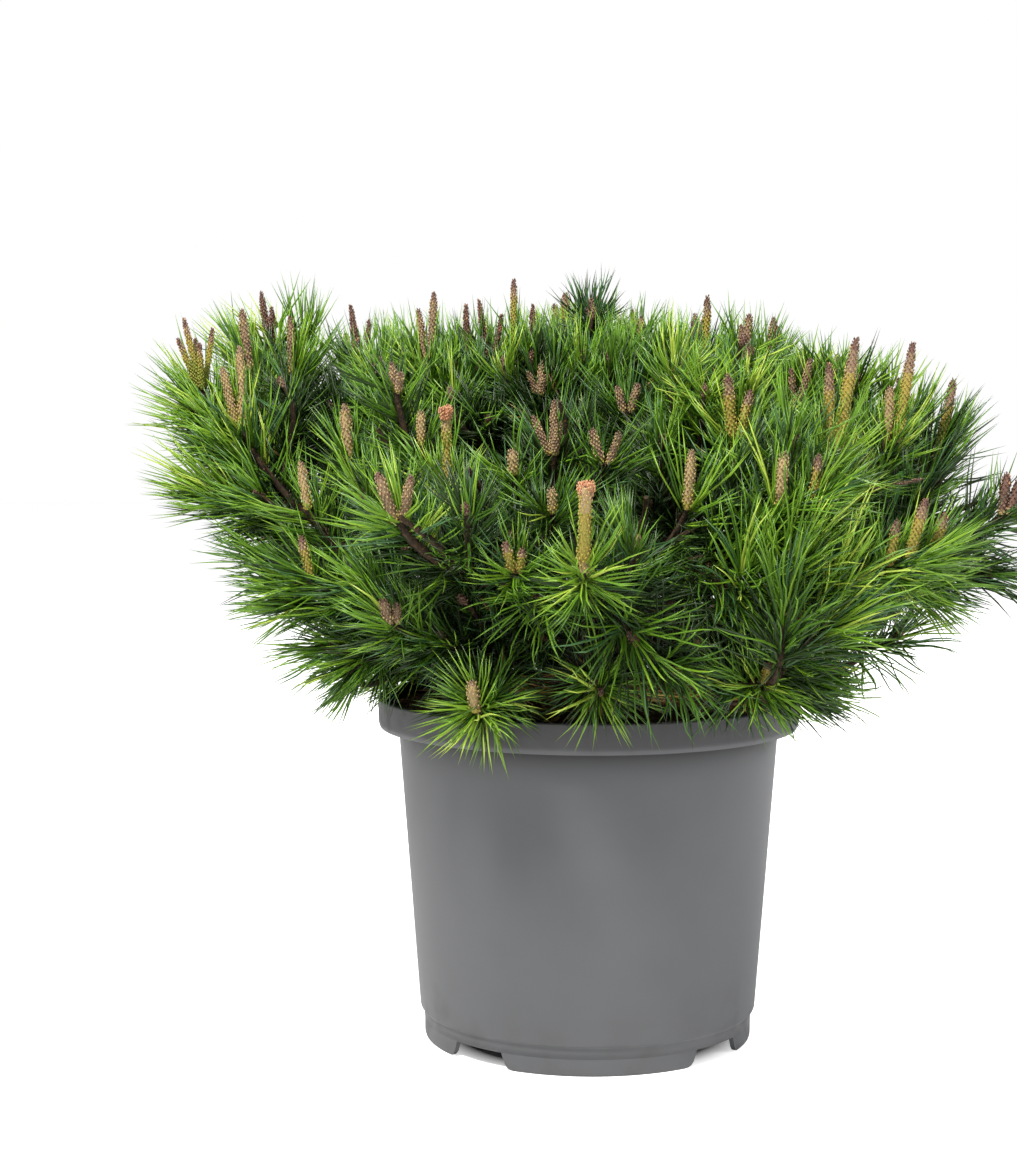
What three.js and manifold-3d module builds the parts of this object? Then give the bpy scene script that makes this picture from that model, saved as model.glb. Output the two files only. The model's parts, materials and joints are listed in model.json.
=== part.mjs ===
// A dwarf mountain pine growing in a grey plastic nursery pot.
// Millimetres, +Z up. The origin is the centre of the ring of feet, on the ground.
// Bearings are degrees around the pot: 0 is the front (-Y), 90 is the right side (+X).

import * as THREE from 'three';
import { mergeVertices } from 'three/addons/utils/BufferGeometryUtils.js';
import Module from 'manifold-3d';

const wasm = await Module();
wasm.setup();

// ---------------------------------------------------------------- driving dimensions

const GAP = 0.35; // clearance between two pieces that touch
const SLIVER = 0.1; // slivers thinner than this, which a cut can leave, are smoothed away

const POT = {
  height: 182.7,
  rimRadius: 112,
  rimBand: 15.7,
  bodyTopRadius: 101.5,
  bodyBottomRadius: 89.8,
  wall: 1.8,
  edge: 1, // the small chamfer on the rim and at the foot of the body
  floorHeight: 15.8,
  sides: 32,
};

// The ring that the pot stands on: whole under the floor, and cut into feet by open notches.
const FEET = {
  count: 4,
  height: 8.8,
  outerRadius: 87.6,
  thickness: 2.6,
  arcDegrees: 70,
  firstBearing: 5,
  steps: 8,
};

const DRAIN = { count: 4, radius: 6, ringRadius: 62, sides: 10 };

const SOIL = {
  edgeHeight: 176,
  shoulderRadius: 71,
  shoulderHeight: 184,
  crestRadius: 30,
  crestHeight: 189,
};

const TRUNK = {
  height: 34,
  flareRadius: 21,
  flareFade: 6, // how soon the root flare dies away up the trunk
  neckRadius: 12.5,
  tipRadius: 8.5,
  leanDegrees: 5,
  leanBearing: 250,
  sides: 12,
  steps: 6,
};

const BOUGH = {
  rootRadius: 5.2,
  tipRadius: 2.6,
  lowestRoot: 0.45, // the boughs leave the trunk from this share of its height
  highestRoot: 0.95,
  turn: 0.382, // each root is this share of that range above the last, round and round
  sag: 14, // how far a bough's lowest stretch hangs below the straight line to its tip
  lowestAt: 0.55,
  sides: 7,
  steps: 5,
  reachIntoMass: 0.12, // a bough ends this share of the way along its mass
};

const MASS = {
  sides: 10,
  rings: 6,
  lump: 0.065, // how uneven a mass is
  waves: 4,
  shortestWave: 2.5,
  longestWave: 5,
  waist: 0.3, // how much slimmer the inner end is
  flatness: 0.9,
  bearingJitter: 3,
  sizeJitter: 0.07,
};

// Each tier of foliage masses: where they stand around the pot, and the inner and outer end
// of a mass as [distance from the axis, height].
const TIERS = [
  {
    name: 'skirt',
    bearings: [2, 40, 74, 114, 156, 198, 240, 297, 336],
    inner: [88, 206],
    outer: [157, 188],
    girth: 39,
  },
  {
    name: 'low',
    bearings: [7, 78, 118, 162, 205, 248, 292, 322],
    inner: [104, 222],
    outer: [190, 250],
    girth: 47,
  },
  {
    name: 'middle',
    bearings: [359, 55, 88, 131, 176, 222, 279, 329],
    inner: [130, 256],
    outer: [226, 308],
    girth: 54,
  },
  {
    name: 'shoulder',
    bearings: [14, 30, 50, 76, 108, 142, 180, 217, 250, 269, 306, 336],
    inner: [112, 290],
    outer: [198, 372],
    girth: 44,
  },
  {
    name: 'top',
    bearings: [350, 60, 125, 185, 245],
    inner: [44, 290],
    outer: [92, 394],
    girth: 53,
  },
];

// The masses that stand out of the regular crown by their own size or place.
const OWN_SHAPE = {
  skirt_1: { outer: [146, 178], girth: 31 },
  skirt_2: { outer: [152, 182], girth: 33 },
  skirt_3: { inner: [108, 207], outer: [178, 208], girth: 34 },
  skirt_8: { inner: [94, 209], outer: [167, 186], girth: 33 },
  skirt_9: { outer: [156, 172], girth: 34 },
  low_1: { outer: [178, 212], girth: 35 },
  low_2: { inner: [150, 228], outer: [222, 262], girth: 33 },
  low_7: { inner: [110, 234], outer: [202, 258], girth: 39 },
  low_8: { girth: 40 },
  middle_1: { inner: [138, 246], outer: [222, 296], girth: 38 },
  middle_2: { outer: [212, 292], girth: 45 },
  middle_3: { inner: [162, 256], outer: [232, 304], girth: 34 },
  middle_7: { inner: [150, 266], outer: [226, 322], girth: 38 },
  middle_8: { outer: [216, 306], girth: 46 },
  shoulder_1: { inner: [104, 258], outer: [158, 322], girth: 36 },
  shoulder_2: { inner: [122, 238], outer: [196, 322], girth: 46 },
  shoulder_3: { outer: [180, 366] },
  shoulder_4: { inner: [122, 276], outer: [206, 358], girth: 40 },
  shoulder_5: { inner: [112, 272], outer: [204, 360], girth: 47 },
  shoulder_9: { inner: [146, 300], outer: [198, 396], girth: 40 },
  shoulder_10: { inner: [158, 288], outer: [210, 386], girth: 42 },
  shoulder_11: { inner: [98, 278], outer: [142, 360], girth: 43 },
  shoulder_12: { inner: [112, 264], outer: [158, 340], girth: 38 },
  top_1: { outer: [82, 374], girth: 46 },
};

// The single mass in the middle of the crown, as [x, y, z] of its two ends.
const HEART = { name: 'heart', inner: [-8, 6, 300], outer: [-34, 14, 405], girth: 42 };

// The masses at the end of each bough.
const CARRIED = [
  'middle_1', 'middle_2', 'middle_3', 'middle_4', 'middle_5',
  'middle_6', 'middle_7', 'middle_8', 'shoulder_11', 'heart',
];

const COLOURS = {
  pot: 0x73747a,
  soil: 0x3a2a1e,
  bark: 0x5b5048,
  needles: 0x4d7a2a,
};

const FINISH = {
  pot: { color: COLOURS.pot, roughness: 0.5, metalness: 0 },
  soil: { color: COLOURS.soil, roughness: 1, metalness: 0 },
  bark: { color: COLOURS.bark, roughness: 0.95, metalness: 0 },
  needles: { color: COLOURS.needles, roughness: 0.6, metalness: 0 },
};

const UP = new THREE.Vector3(0, 0, 1);

// ---------------------------------------------------------------- small helpers

// The direction on the ground of a bearing.
function heading(bearing) {
  const angle = THREE.MathUtils.degToRad(bearing);
  return new THREE.Vector3(Math.sin(angle), -Math.cos(angle), 0);
}

// The point at a bearing, a distance from the pot's axis and a height.
function around(bearing, [distance, height]) {
  return heading(bearing).multiplyScalar(distance).setZ(height);
}

// A repeatable source of numbers from 0 to 1, which is different for each name.
function seededBy(name) {
  let state = 2166136261;
  for (const letter of name) {
    state = Math.imul(state ^ letter.charCodeAt(0), 16777619);
  }
  return () => {
    state = (Math.imul(state ^ (state >>> 15), 2246822519) + 374761393) | 0;
    return ((state ^ (state >>> 13)) >>> 0) / 4294967296;
  };
}

function toSolid(geometry) {
  const bare = geometry.clone();
  bare.deleteAttribute('normal');
  bare.deleteAttribute('uv');
  const merged = mergeVertices(bare, 1e-4);
  const vertProperties = Float32Array.from(merged.attributes.position.array);
  const triVerts = Uint32Array.from(merged.index.array);
  return new wasm.Manifold(new wasm.Mesh({ numProp: 3, vertProperties, triVerts }));
}

function toGeometry(solid) {
  const mesh = solid.getMesh();
  const geometry = new THREE.BufferGeometry();
  geometry.setAttribute('position', new THREE.BufferAttribute(mesh.vertProperties, 3));
  geometry.setIndex(new THREE.BufferAttribute(mesh.triVerts, 1));
  return geometry;
}

// Cutting can leave loose crumbs: only the largest body is kept.
function largestBody(solid) {
  const bodies = solid.decompose();
  return bodies.reduce((best, body) => (body.volume() > best.volume() ? body : best));
}

function cutAround(solid, tools) {
  const cut = tools.reduce((rest, tool) => rest.subtract(tool), solid);
  return largestBody(cut).simplify(SLIVER);
}

// A solid of revolution from [radius, height] pairs that start and end on the axis.
function turned(profile, sides) {
  const points = profile.map(([radius, height]) => new THREE.Vector2(radius, height));
  return new THREE.LatheGeometry(points, sides).rotateX(Math.PI / 2);
}

// A tapering limb with flat ends along a curve. With some clearance it is that much larger
// all round, which makes the tool that cuts a seat for the limb.
function limb(curve, radiusAt, sides, steps, clearance = 0) {
  const frames = curve.computeFrenetFrames(steps, false);
  const positions = [];
  const faces = [];
  for (let step = 0; step <= steps; step += 1) {
    const share = step / steps;
    const centre = curve.getPointAt(share);
    if (step === 0 || step === steps) {
      const outward = step === 0 ? -clearance : clearance;
      centre.addScaledVector(frames.tangents[step], outward);
    }
    for (let side = 0; side < sides; side += 1) {
      const angle = (2 * Math.PI * side) / sides;
      const spoke = frames.normals[step].clone().multiplyScalar(Math.cos(angle));
      spoke.addScaledVector(frames.binormals[step], Math.sin(angle));
      spoke.multiplyScalar(radiusAt(share) + clearance);
      positions.push(...spoke.add(centre).toArray());
    }
  }
  for (let step = 0; step < steps; step += 1) {
    for (let side = 0; side < sides; side += 1) {
      const a = step * sides + side;
      const b = step * sides + ((side + 1) % sides);
      faces.push(a, b, a + sides, b, b + sides, a + sides);
    }
  }
  const last = steps * sides;
  for (let side = 1; side < sides - 1; side += 1) {
    faces.push(0, side + 1, side, last, last + side, last + side + 1);
  }
  const geometry = new THREE.BufferGeometry();
  geometry.setAttribute('position', new THREE.Float32BufferAttribute(positions, 3));
  geometry.setIndex(faces);
  return geometry;
}

// ---------------------------------------------------------------- the pot and its soil

function bodyRadiusAt(height) {
  const share = (height - POT.floorHeight) / (POT.height - POT.rimBand - POT.floorHeight);
  return THREE.MathUtils.lerp(POT.bodyBottomRadius, POT.bodyTopRadius, share);
}

function potShell() {
  const { height, rimRadius, rimBand, wall, edge, floorHeight } = POT;
  const lip = height - rimBand;
  const shell = toSolid(turned([
    [0, floorHeight],
    [FEET.outerRadius - FEET.thickness, floorHeight],
    [FEET.outerRadius - FEET.thickness, FEET.height],
    [FEET.outerRadius, FEET.height],
    [FEET.outerRadius, floorHeight],
    [POT.bodyBottomRadius - edge, floorHeight],
    [POT.bodyBottomRadius, floorHeight + edge],
    [POT.bodyTopRadius, lip],
    [rimRadius - edge, lip],
    [rimRadius, lip + edge],
    [rimRadius, height - edge],
    [rimRadius - edge, height],
    [rimRadius - wall, height - edge],
    [rimRadius - wall, lip + wall],
    [bodyRadiusAt(lip) - wall, lip + wall],
    [bodyRadiusAt(floorHeight + wall) - wall, floorHeight + wall],
    [0, floorHeight + wall],
  ], POT.sides));
  const drains = [];
  for (let i = 0; i < DRAIN.count; i += 1) {
    const hole = new THREE.CylinderGeometry(DRAIN.radius, DRAIN.radius, 4 * wall, DRAIN.sides);
    hole.rotateX(Math.PI / 2);
    const centre = around(notchBearing(i), [DRAIN.ringRadius, floorHeight]);
    drains.push(toSolid(hole.translate(centre.x, centre.y, centre.z)));
  }
  return cutAround(shell, drains);
}

// The middle of the open notch after each foot.
function notchBearing(i) {
  return FEET.firstBearing + ((i + 0.5) * 360) / FEET.count;
}

function foot(i) {
  const middle = THREE.MathUtils.degToRad(FEET.firstBearing + (i * 360) / FEET.count - 90);
  const half = THREE.MathUtils.degToRad(FEET.arcDegrees / 2);
  const arc = new THREE.Shape();
  arc.absarc(0, 0, FEET.outerRadius, middle - half, middle + half, false);
  arc.absarc(0, 0, FEET.outerRadius - FEET.thickness, middle + half, middle - half, true);
  return new THREE.ExtrudeGeometry(arc, {
    depth: FEET.height - GAP,
    bevelEnabled: false,
    curveSegments: FEET.steps,
  });
}

// The packed soil fills the pot and rises to a low crest around the trunk.
function soil() {
  const lip = POT.height - POT.rimBand;
  const inside = POT.wall + GAP;
  const floor = POT.floorHeight + inside;
  const geometry = turned([
    [0, floor],
    [bodyRadiusAt(floor) - inside, floor],
    [bodyRadiusAt(lip) - inside, lip + inside],
    [POT.rimRadius - inside, lip + inside],
    [POT.rimRadius - inside, SOIL.edgeHeight],
    [SOIL.shoulderRadius, SOIL.shoulderHeight],
    [SOIL.crestRadius, SOIL.crestHeight],
    [0, SOIL.crestHeight],
  ], POT.sides);
  return toSolid(geometry);
}

// ---------------------------------------------------------------- trunk and boughs

function trunkCurve() {
  const foot = new THREE.Vector3(0, 0, SOIL.crestHeight + GAP);
  const lean = TRUNK.height * Math.tan(THREE.MathUtils.degToRad(TRUNK.leanDegrees));
  const tip = foot.clone().addScaledVector(heading(TRUNK.leanBearing), lean);
  tip.z += TRUNK.height;
  const knee = foot.clone().setZ(foot.z + TRUNK.height / 2);
  return new THREE.QuadraticBezierCurve3(foot, knee, tip);
}

function trunk(clearance) {
  const { flareRadius, flareFade, neckRadius, tipRadius, sides, steps } = TRUNK;
  const radiusAt = (share) => {
    const stem = THREE.MathUtils.lerp(neckRadius, tipRadius, share);
    return stem + (flareRadius - neckRadius) * Math.exp(-flareFade * share);
  };
  return toSolid(limb(trunkCurve(), radiusAt, sides, steps, clearance));
}

// A bough leaves the trunk below its tip, hangs a little and rises into its mass.
function bough(i, mass, clearance) {
  const { lowestRoot, highestRoot } = BOUGH;
  const rise = THREE.MathUtils.lerp(lowestRoot, highestRoot, (i * BOUGH.turn) % 1);
  const root = trunkCurve().getPointAt(rise);
  const tip = mass.inner.clone().lerp(mass.outer, BOUGH.reachIntoMass);
  const middle = root.clone().lerp(tip, BOUGH.lowestAt);
  middle.z -= BOUGH.sag;
  const curve = new THREE.QuadraticBezierCurve3(root, middle, tip);
  const radiusAt = (share) => THREE.MathUtils.lerp(BOUGH.rootRadius, BOUGH.tipRadius, share);
  return toSolid(limb(curve, radiusAt, BOUGH.sides, BOUGH.steps, clearance));
}

// ---------------------------------------------------------------- foliage masses

// Every mass with its own ends and girth, before it is shaped.
function plannedMasses() {
  const plans = [];
  for (const tier of TIERS) {
    tier.bearings.forEach((tierBearing, i) => {
      const name = `${tier.name}_${i + 1}`;
      const random = seededBy(name);
      const own = { bearing: tierBearing, ...tier, ...OWN_SHAPE[name] };
      const bearing = own.bearing + MASS.bearingJitter * (2 * random() - 1);
      const size = 1 + MASS.sizeJitter * (2 * random() - 1);
      plans.push({
        name,
        inner: around(bearing, own.inner),
        outer: around(bearing, own.outer),
        girth: own.girth * size,
      });
    });
  }
  plans.push({
    name: HEART.name,
    inner: new THREE.Vector3(...HEART.inner),
    outer: new THREE.Vector3(...HEART.outer),
    girth: HEART.girth,
  });
  return plans;
}

// A lumpy plume between its two ends, slimmer at the inner one.
function plume(plan) {
  const random = seededBy(`shape of ${plan.name}`);
  const waves = [];
  for (let i = 0; i < MASS.waves; i += 1) {
    const along = new THREE.Vector3(random() - 0.5, random() - 0.5, random() - 0.5);
    along.setLength(THREE.MathUtils.lerp(MASS.shortestWave, MASS.longestWave, random()));
    waves.push({ along, phase: 2 * Math.PI * random() });
  }
  const axis = plan.outer.clone().sub(plan.inner);
  const turn = new THREE.Quaternion().setFromUnitVectors(UP, axis.clone().normalize());
  const centre = plan.inner.clone().lerp(plan.outer, 0.5);
  const geometry = new THREE.SphereGeometry(1, MASS.sides, MASS.rings).rotateX(Math.PI / 2);
  const positions = geometry.attributes.position;
  const point = new THREE.Vector3();
  for (let i = 0; i < positions.count; i += 1) {
    point.fromBufferAttribute(positions, i);
    const bumps = waves.map((wave) => Math.sin(wave.along.dot(point) + wave.phase));
    const swell = 1 + MASS.lump * bumps.reduce((sum, bump) => sum + bump, 0);
    const taper = 1 - (MASS.waist * (1 - point.z)) / 2;
    point.x *= plan.girth * taper * swell;
    point.y *= plan.girth * taper * swell * MASS.flatness;
    point.z *= axis.length() / 2;
    point.applyQuaternion(turn).add(centre);
    positions.setXYZ(i, point.x, point.y, point.z);
  }
  return toSolid(geometry);
}

// Two masses that meet are parted by a flat cut between their middles.
function partMasses(masses) {
  for (let i = 0; i < masses.length; i += 1) {
    for (let j = i + 1; j < masses.length; j += 1) {
      const a = masses[i];
      const b = masses[j];
      if (a.solid.minGap(b.solid, 2 * GAP) < GAP) {
        const across = b.middle.clone().sub(a.middle);
        const cutPoint = a.middle.clone().addScaledVector(across, a.girth / (a.girth + b.girth));
        const normal = across.normalize();
        const offset = cutPoint.dot(normal);
        b.solid = largestBody(b.solid.trimByPlane(normal.toArray(), offset + GAP / 2));
        a.solid = largestBody(
          a.solid.trimByPlane(normal.clone().negate().toArray(), GAP / 2 - offset),
        );
      }
    }
  }
}

// ---------------------------------------------------------------- the assembly

const part = new THREE.Group();
part.name = 'potted_dwarf_pine';

function add(name, geometry, finish) {
  const mesh = new THREE.Mesh(geometry, new THREE.MeshStandardMaterial(finish));
  mesh.name = name;
  part.add(mesh);
}

const shellSolid = potShell();
const soilSolid = soil();
const trunkSolid = trunk();
add('pot_shell', toGeometry(shellSolid), FINISH.pot);
for (let i = 0; i < FEET.count; i += 1) {
  add(`pot_foot_${i + 1}`, foot(i), FINISH.pot);
}
add('soil', toGeometry(soilSolid), FINISH.soil);
add('trunk', toGeometry(trunkSolid), FINISH.bark);

const masses = plannedMasses().map((plan) => ({
  ...plan,
  solid: plume(plan),
  middle: plan.inner.clone().lerp(plan.outer, 0.5),
}));

// Each limb cuts a seat, with clearance, into the pieces that are made after it.
const limbTools = [trunk(GAP)];
CARRIED.forEach((massName, i) => {
  const mass = masses.find((candidate) => candidate.name === massName);
  const solid = cutAround(bough(i, mass), limbTools);
  limbTools.push(bough(i, mass, GAP));
  add(`bough_${i + 1}`, toGeometry(solid), FINISH.bark);
});

// What a drooping mass must stay clear of: the pot as a full block, heaped with its soil.
function heapedPot() {
  const lip = POT.height - POT.rimBand - GAP;
  return toSolid(turned([
    [0, 0],
    [POT.bodyTopRadius + GAP, 0],
    [POT.bodyTopRadius + GAP, lip],
    [POT.rimRadius + GAP, lip],
    [POT.rimRadius + GAP, POT.height + GAP],
    [SOIL.crestRadius, SOIL.crestHeight + GAP],
    [0, SOIL.crestHeight + GAP],
  ], POT.sides));
}

partMasses(masses);
const massTools = [heapedPot(), ...limbTools];
for (const mass of masses) {
  const solid = cutAround(mass.solid, massTools);
  add(mass.name, toGeometry(solid), FINISH.needles);
}

export default part;
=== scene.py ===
"""A dwarf mountain pine in a grey plastic nursery pot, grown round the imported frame.

Metres, +Z up. Sizes given in millimetres are named so and turned to metres by MM.
Bearings are degrees round the pot: 0 is the front (-Y) and 90 the right side (+X).
The limbs and foliage masses of the frame say where the wood runs and how far the crown
reaches. A seeded rule grows a branch into each mass, shoots from the branches, and needles
and candle buds on the shoots.
"""

import json
import math
from collections import namedtuple

import bpy
import numpy as np
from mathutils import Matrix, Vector, noise
from mathutils.bvhtree import BVHTree

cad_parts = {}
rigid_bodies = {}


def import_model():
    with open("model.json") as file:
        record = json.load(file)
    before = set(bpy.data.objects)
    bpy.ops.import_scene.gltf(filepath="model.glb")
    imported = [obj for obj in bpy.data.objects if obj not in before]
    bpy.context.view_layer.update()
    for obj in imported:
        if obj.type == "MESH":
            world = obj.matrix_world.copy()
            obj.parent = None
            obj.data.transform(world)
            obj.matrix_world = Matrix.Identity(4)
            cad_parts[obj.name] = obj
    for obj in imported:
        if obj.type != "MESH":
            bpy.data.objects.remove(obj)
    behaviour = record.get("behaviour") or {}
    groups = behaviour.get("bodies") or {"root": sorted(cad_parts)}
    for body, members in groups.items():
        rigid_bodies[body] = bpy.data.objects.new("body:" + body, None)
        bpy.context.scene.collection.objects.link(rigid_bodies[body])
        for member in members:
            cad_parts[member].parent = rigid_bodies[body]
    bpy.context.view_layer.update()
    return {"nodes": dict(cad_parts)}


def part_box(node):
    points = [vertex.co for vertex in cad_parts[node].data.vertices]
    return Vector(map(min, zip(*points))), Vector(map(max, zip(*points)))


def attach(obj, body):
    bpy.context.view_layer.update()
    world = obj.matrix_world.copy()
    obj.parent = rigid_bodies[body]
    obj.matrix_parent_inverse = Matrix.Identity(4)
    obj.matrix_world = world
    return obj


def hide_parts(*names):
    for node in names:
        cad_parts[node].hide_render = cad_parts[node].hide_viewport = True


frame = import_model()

MM = 0.001
UP = np.array([0.0, 0.0, 1.0])
GOLDEN_ANGLE = math.radians(137.508)
GOLDEN_SHARE = 0.618

scene = bpy.context.scene
random = np.random.default_rng(20)

# ------------------------------------------------------------------ sizes of the pot

POT_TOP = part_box("pot_shell")[1].z
RIM_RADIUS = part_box("pot_shell")[1].x
NOTCH_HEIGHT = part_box("pot_shell")[0].z
FLOOR_HEIGHT = 15.8 * MM
LIP_HEIGHT = POT_TOP - 15.7 * MM
BODY_TOP_RADIUS = 101.5 * MM
BODY_FOOT_RADIUS = 89.8 * MM
WALL = 1.8 * MM
FOOT_RADIUS = 87.6 * MM
FOOT_WALL = 2.6 * MM
FOOT_ARC = 70
FOOT_SLANT = 2.2
FOOT_ROUNDING = (2.6, 4.0 * MM)
FEET_BEARINGS = (5, 95, 185, 275)
DRAIN_BEARINGS = (50, 140, 230, 320)
DRAIN_RING = 62 * MM
DRAIN_RADIUS = 6 * MM
# How finely the pot, its feet, its rounded edges and the drill for its holes are drawn.
POT_SIDES, FOOT_STEPS, ROUNDING_STEPS, DRILL_SIDES = 180, 40, 4, 24
SHARP_ANGLE = 35
# The peat: its height in millimetres at distances from the axis, its mesh, lumps and litter.
SOIL_PROFILE = ((0, 189), (30, 188.5), (71, 184), (96, 179), (109.4, 175.5))
PEAT_RINGS, PEAT_SIDES = 56, 150
LUMPS_A_METRE, LUMP_HEIGHT = 130, 3.2 * MM
PEAT_GAP = 0.4 * MM
CHIPS, CHIP_SIDES, CHIP_THICKNESS = 9, 6, 1.6 * MM
DROPPED, DROPPED_WIDTH = 11, 0.6 * MM

# ------------------------------------------------------------------ sizes of the plant

NEEDLE_LENGTH = 40 * MM
NEEDLE_WIDTH = 1.12 * MM
PAIRS_PER_MM = 1.75
# How far apart the rule grows its shoots, their length in millimetres, and how deep under the
# crown's skin they end: first those that make the skin, then those that fill the inside.
SHOOT_SPACING = 27 * MM
SHOOT_REACH = (55, 85)
SKIN_DEPTH = (20 * MM, 36 * MM)
INNER_SPACING = 31 * MM
INNER_DEPTH = (42 * MM, 160 * MM)
TOP_CROWDING, TRIES_A_SPACE = 0.78, 4.5
# How far needles and candles may stand out of the crown's outline, and less so below it.
OUTLINE_SLACK = (0, 7 * MM)
FREE_REACH = 4 * MM
UNDERSIDE_SHARE = 0.15
SHOWN_UNDERSIDE_SHARE = 0.8
CANDLE_SLACK = (4 * MM, 14 * MM)
# The low part of the front, within this bearing, where only the shown shoots grow.
BARE_BEARING, BARE_DEPTH, BARE_HEIGHT = 62, 40 * MM, 245 * MM
# The room kept clear before the hubs, sunk hubs, candles, bare stems and hollows that the front
# shows. A needle veils them between the two distances.
CLEAR_VIEW = 27 * MM
CLEAR_SUNK = 9 * MM
CLEAR_CANDLE = 4.0 * MM
CLEAR_STEM = 3.0 * MM
CLEAR_HOLLOW = (18 * MM, 9 * MM)
CLEAR_BEHIND = 8 * MM
VEILS = (1 * MM, 120 * MM)
# The wood: where a branch leaves its limb, how thick it and the shoots are from foot to tip, and
# how far they keep from the peat and from the rim, which starts where the heap ends.
BRANCH_REACH, BRANCH_LEAD, BRANCH_GIRTHS = 25 * MM, 12 * MM, (3.2 * MM, 1.2 * MM)
SHOOT_GIRTHS, BARED_GIRTH = (2.0 * MM, 1.3 * MM), 1.4
BRANCH_MARGIN, SHOOT_MARGIN = 4 * MM, 3 * MM
HEAP_RADIUS = 95 * MM
# How finely the limbs of the frame are read and the lines of the wood are drawn.
LIMB_STATIONS, LINE_STEP = 6, 5 * MM
CROWN_FOOT = np.array([0.0, 0.0, 0.175])
NECK = np.array([0.0, 0.0, 0.215])

TIERS = ("skirt", "low", "middle", "shoulder", "top", "heart")
LIMBS = ["trunk"] + [f"bough_{i}" for i in range(1, 11)]
MASSES = [name for name in sorted(frame["nodes"]) if name.split("_")[0] in TIERS]

# ------------------------------------------------------------------ sizes of the stage

CAMERA_PLACE = np.array([0.0, -1.218, 0.343])
CAMERA_LENS, CAMERA_SENSOR = 70.7, 36
CAMERA_DIP, CAMERA_TURN = 4.75, 2.0
LIT_PLACE = Vector((0, 0, 0.25))
FLOOR_EXTENT, FLOOR_COLOUR = 6.0, (0.9, 0.9, 0.9, 1)
GLOW, GLOW_RADII, UNSEEN_GLOW = 0.78, (0.07, 0.086), 0.3
ROOM_COLOUR, ROOM_LIGHT = (0.97, 0.985, 1, 1), 0.21


# ------------------------------------------------------------------ small helpers


def tint(red, green, blue):
    """A linear colour from everyday screen levels of 0 to 255."""
    levels = np.array([red, green, blue]) / 255
    linear = np.where(levels <= 0.04045, levels / 12.92, ((levels + 0.055) / 1.055) ** 2.4)
    return (*(float(level) for level in linear), 1.0)


def unit(vectors):
    return vectors / np.maximum(np.linalg.norm(vectors, axis=-1, keepdims=True), 1e-9)


def heading(bearing):
    """The level direction of a bearing."""
    angle = math.radians(bearing)
    return np.array([math.sin(angle), -math.cos(angle), 0.0])


def aim(bearing, rise):
    """The direction at a bearing and an angle above the horizon."""
    return heading(bearing) * math.cos(math.radians(rise)) + UP * math.sin(math.radians(rise))


def square_to(direction):
    """Two directions at right angles to the given one and to each other."""
    helper = UP if abs(direction[2]) < 0.9 else np.array([1.0, 0.0, 0.0])
    first = unit(np.cross(direction, helper))
    return first, np.cross(direction, first)


def link(obj):
    scene.collection.objects.link(obj)
    return obj


def remove_collection(collection):
    """Removes a collection of helper objects with the objects."""
    for helper in list(collection.objects):
        bpy.data.objects.remove(helper)
    bpy.data.collections.remove(collection)


def mesh_object(name, corners, faces, materials=(), smooth=True):
    """A mesh object of these corners and faces."""
    mesh = bpy.data.meshes.new(name)
    mesh.from_pydata([tuple(corner) for corner in corners], [], faces)
    mesh.polygons.foreach_set("use_smooth", [smooth] * len(mesh.polygons))
    for material in materials:
        mesh.materials.append(material)
    mesh.update()
    return link(bpy.data.objects.new(name, mesh))


def point_object(name, points, edges=(), **attributes):
    """Bare points, or chains of them, with named values for a Geometry Nodes tree."""
    mesh = bpy.data.meshes.new(name)
    mesh.from_pydata([tuple(point) for point in points], list(edges), [])
    for key, values in attributes.items():
        values = np.asarray(values)
        kind = "FLOAT_VECTOR" if values.ndim == 2 else "FLOAT"
        layer = mesh.attributes.new(key, kind, "POINT")
        layer.data.foreach_set("vector" if values.ndim == 2 else "value", values.astype(np.float32).ravel())
    return link(bpy.data.objects.new(name, mesh))


# ------------------------------------------------------------------ node trees

VALUE, VECTOR, COLOUR = "NodeSocketFloat", "NodeSocketVector", "NodeSocketColor"
COUNT, GEOMETRY, COLLECTION = "NodeSocketInt", "NodeSocketGeometry", "NodeSocketCollection"
SHADING, GROWTH = "ShaderNodeTree", "GeometryNodeTree"
X_AXIS, Y_AXIS, Z_AXIS = (1, 0, 0), (0, 1, 0), (0, 0, 1)


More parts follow.
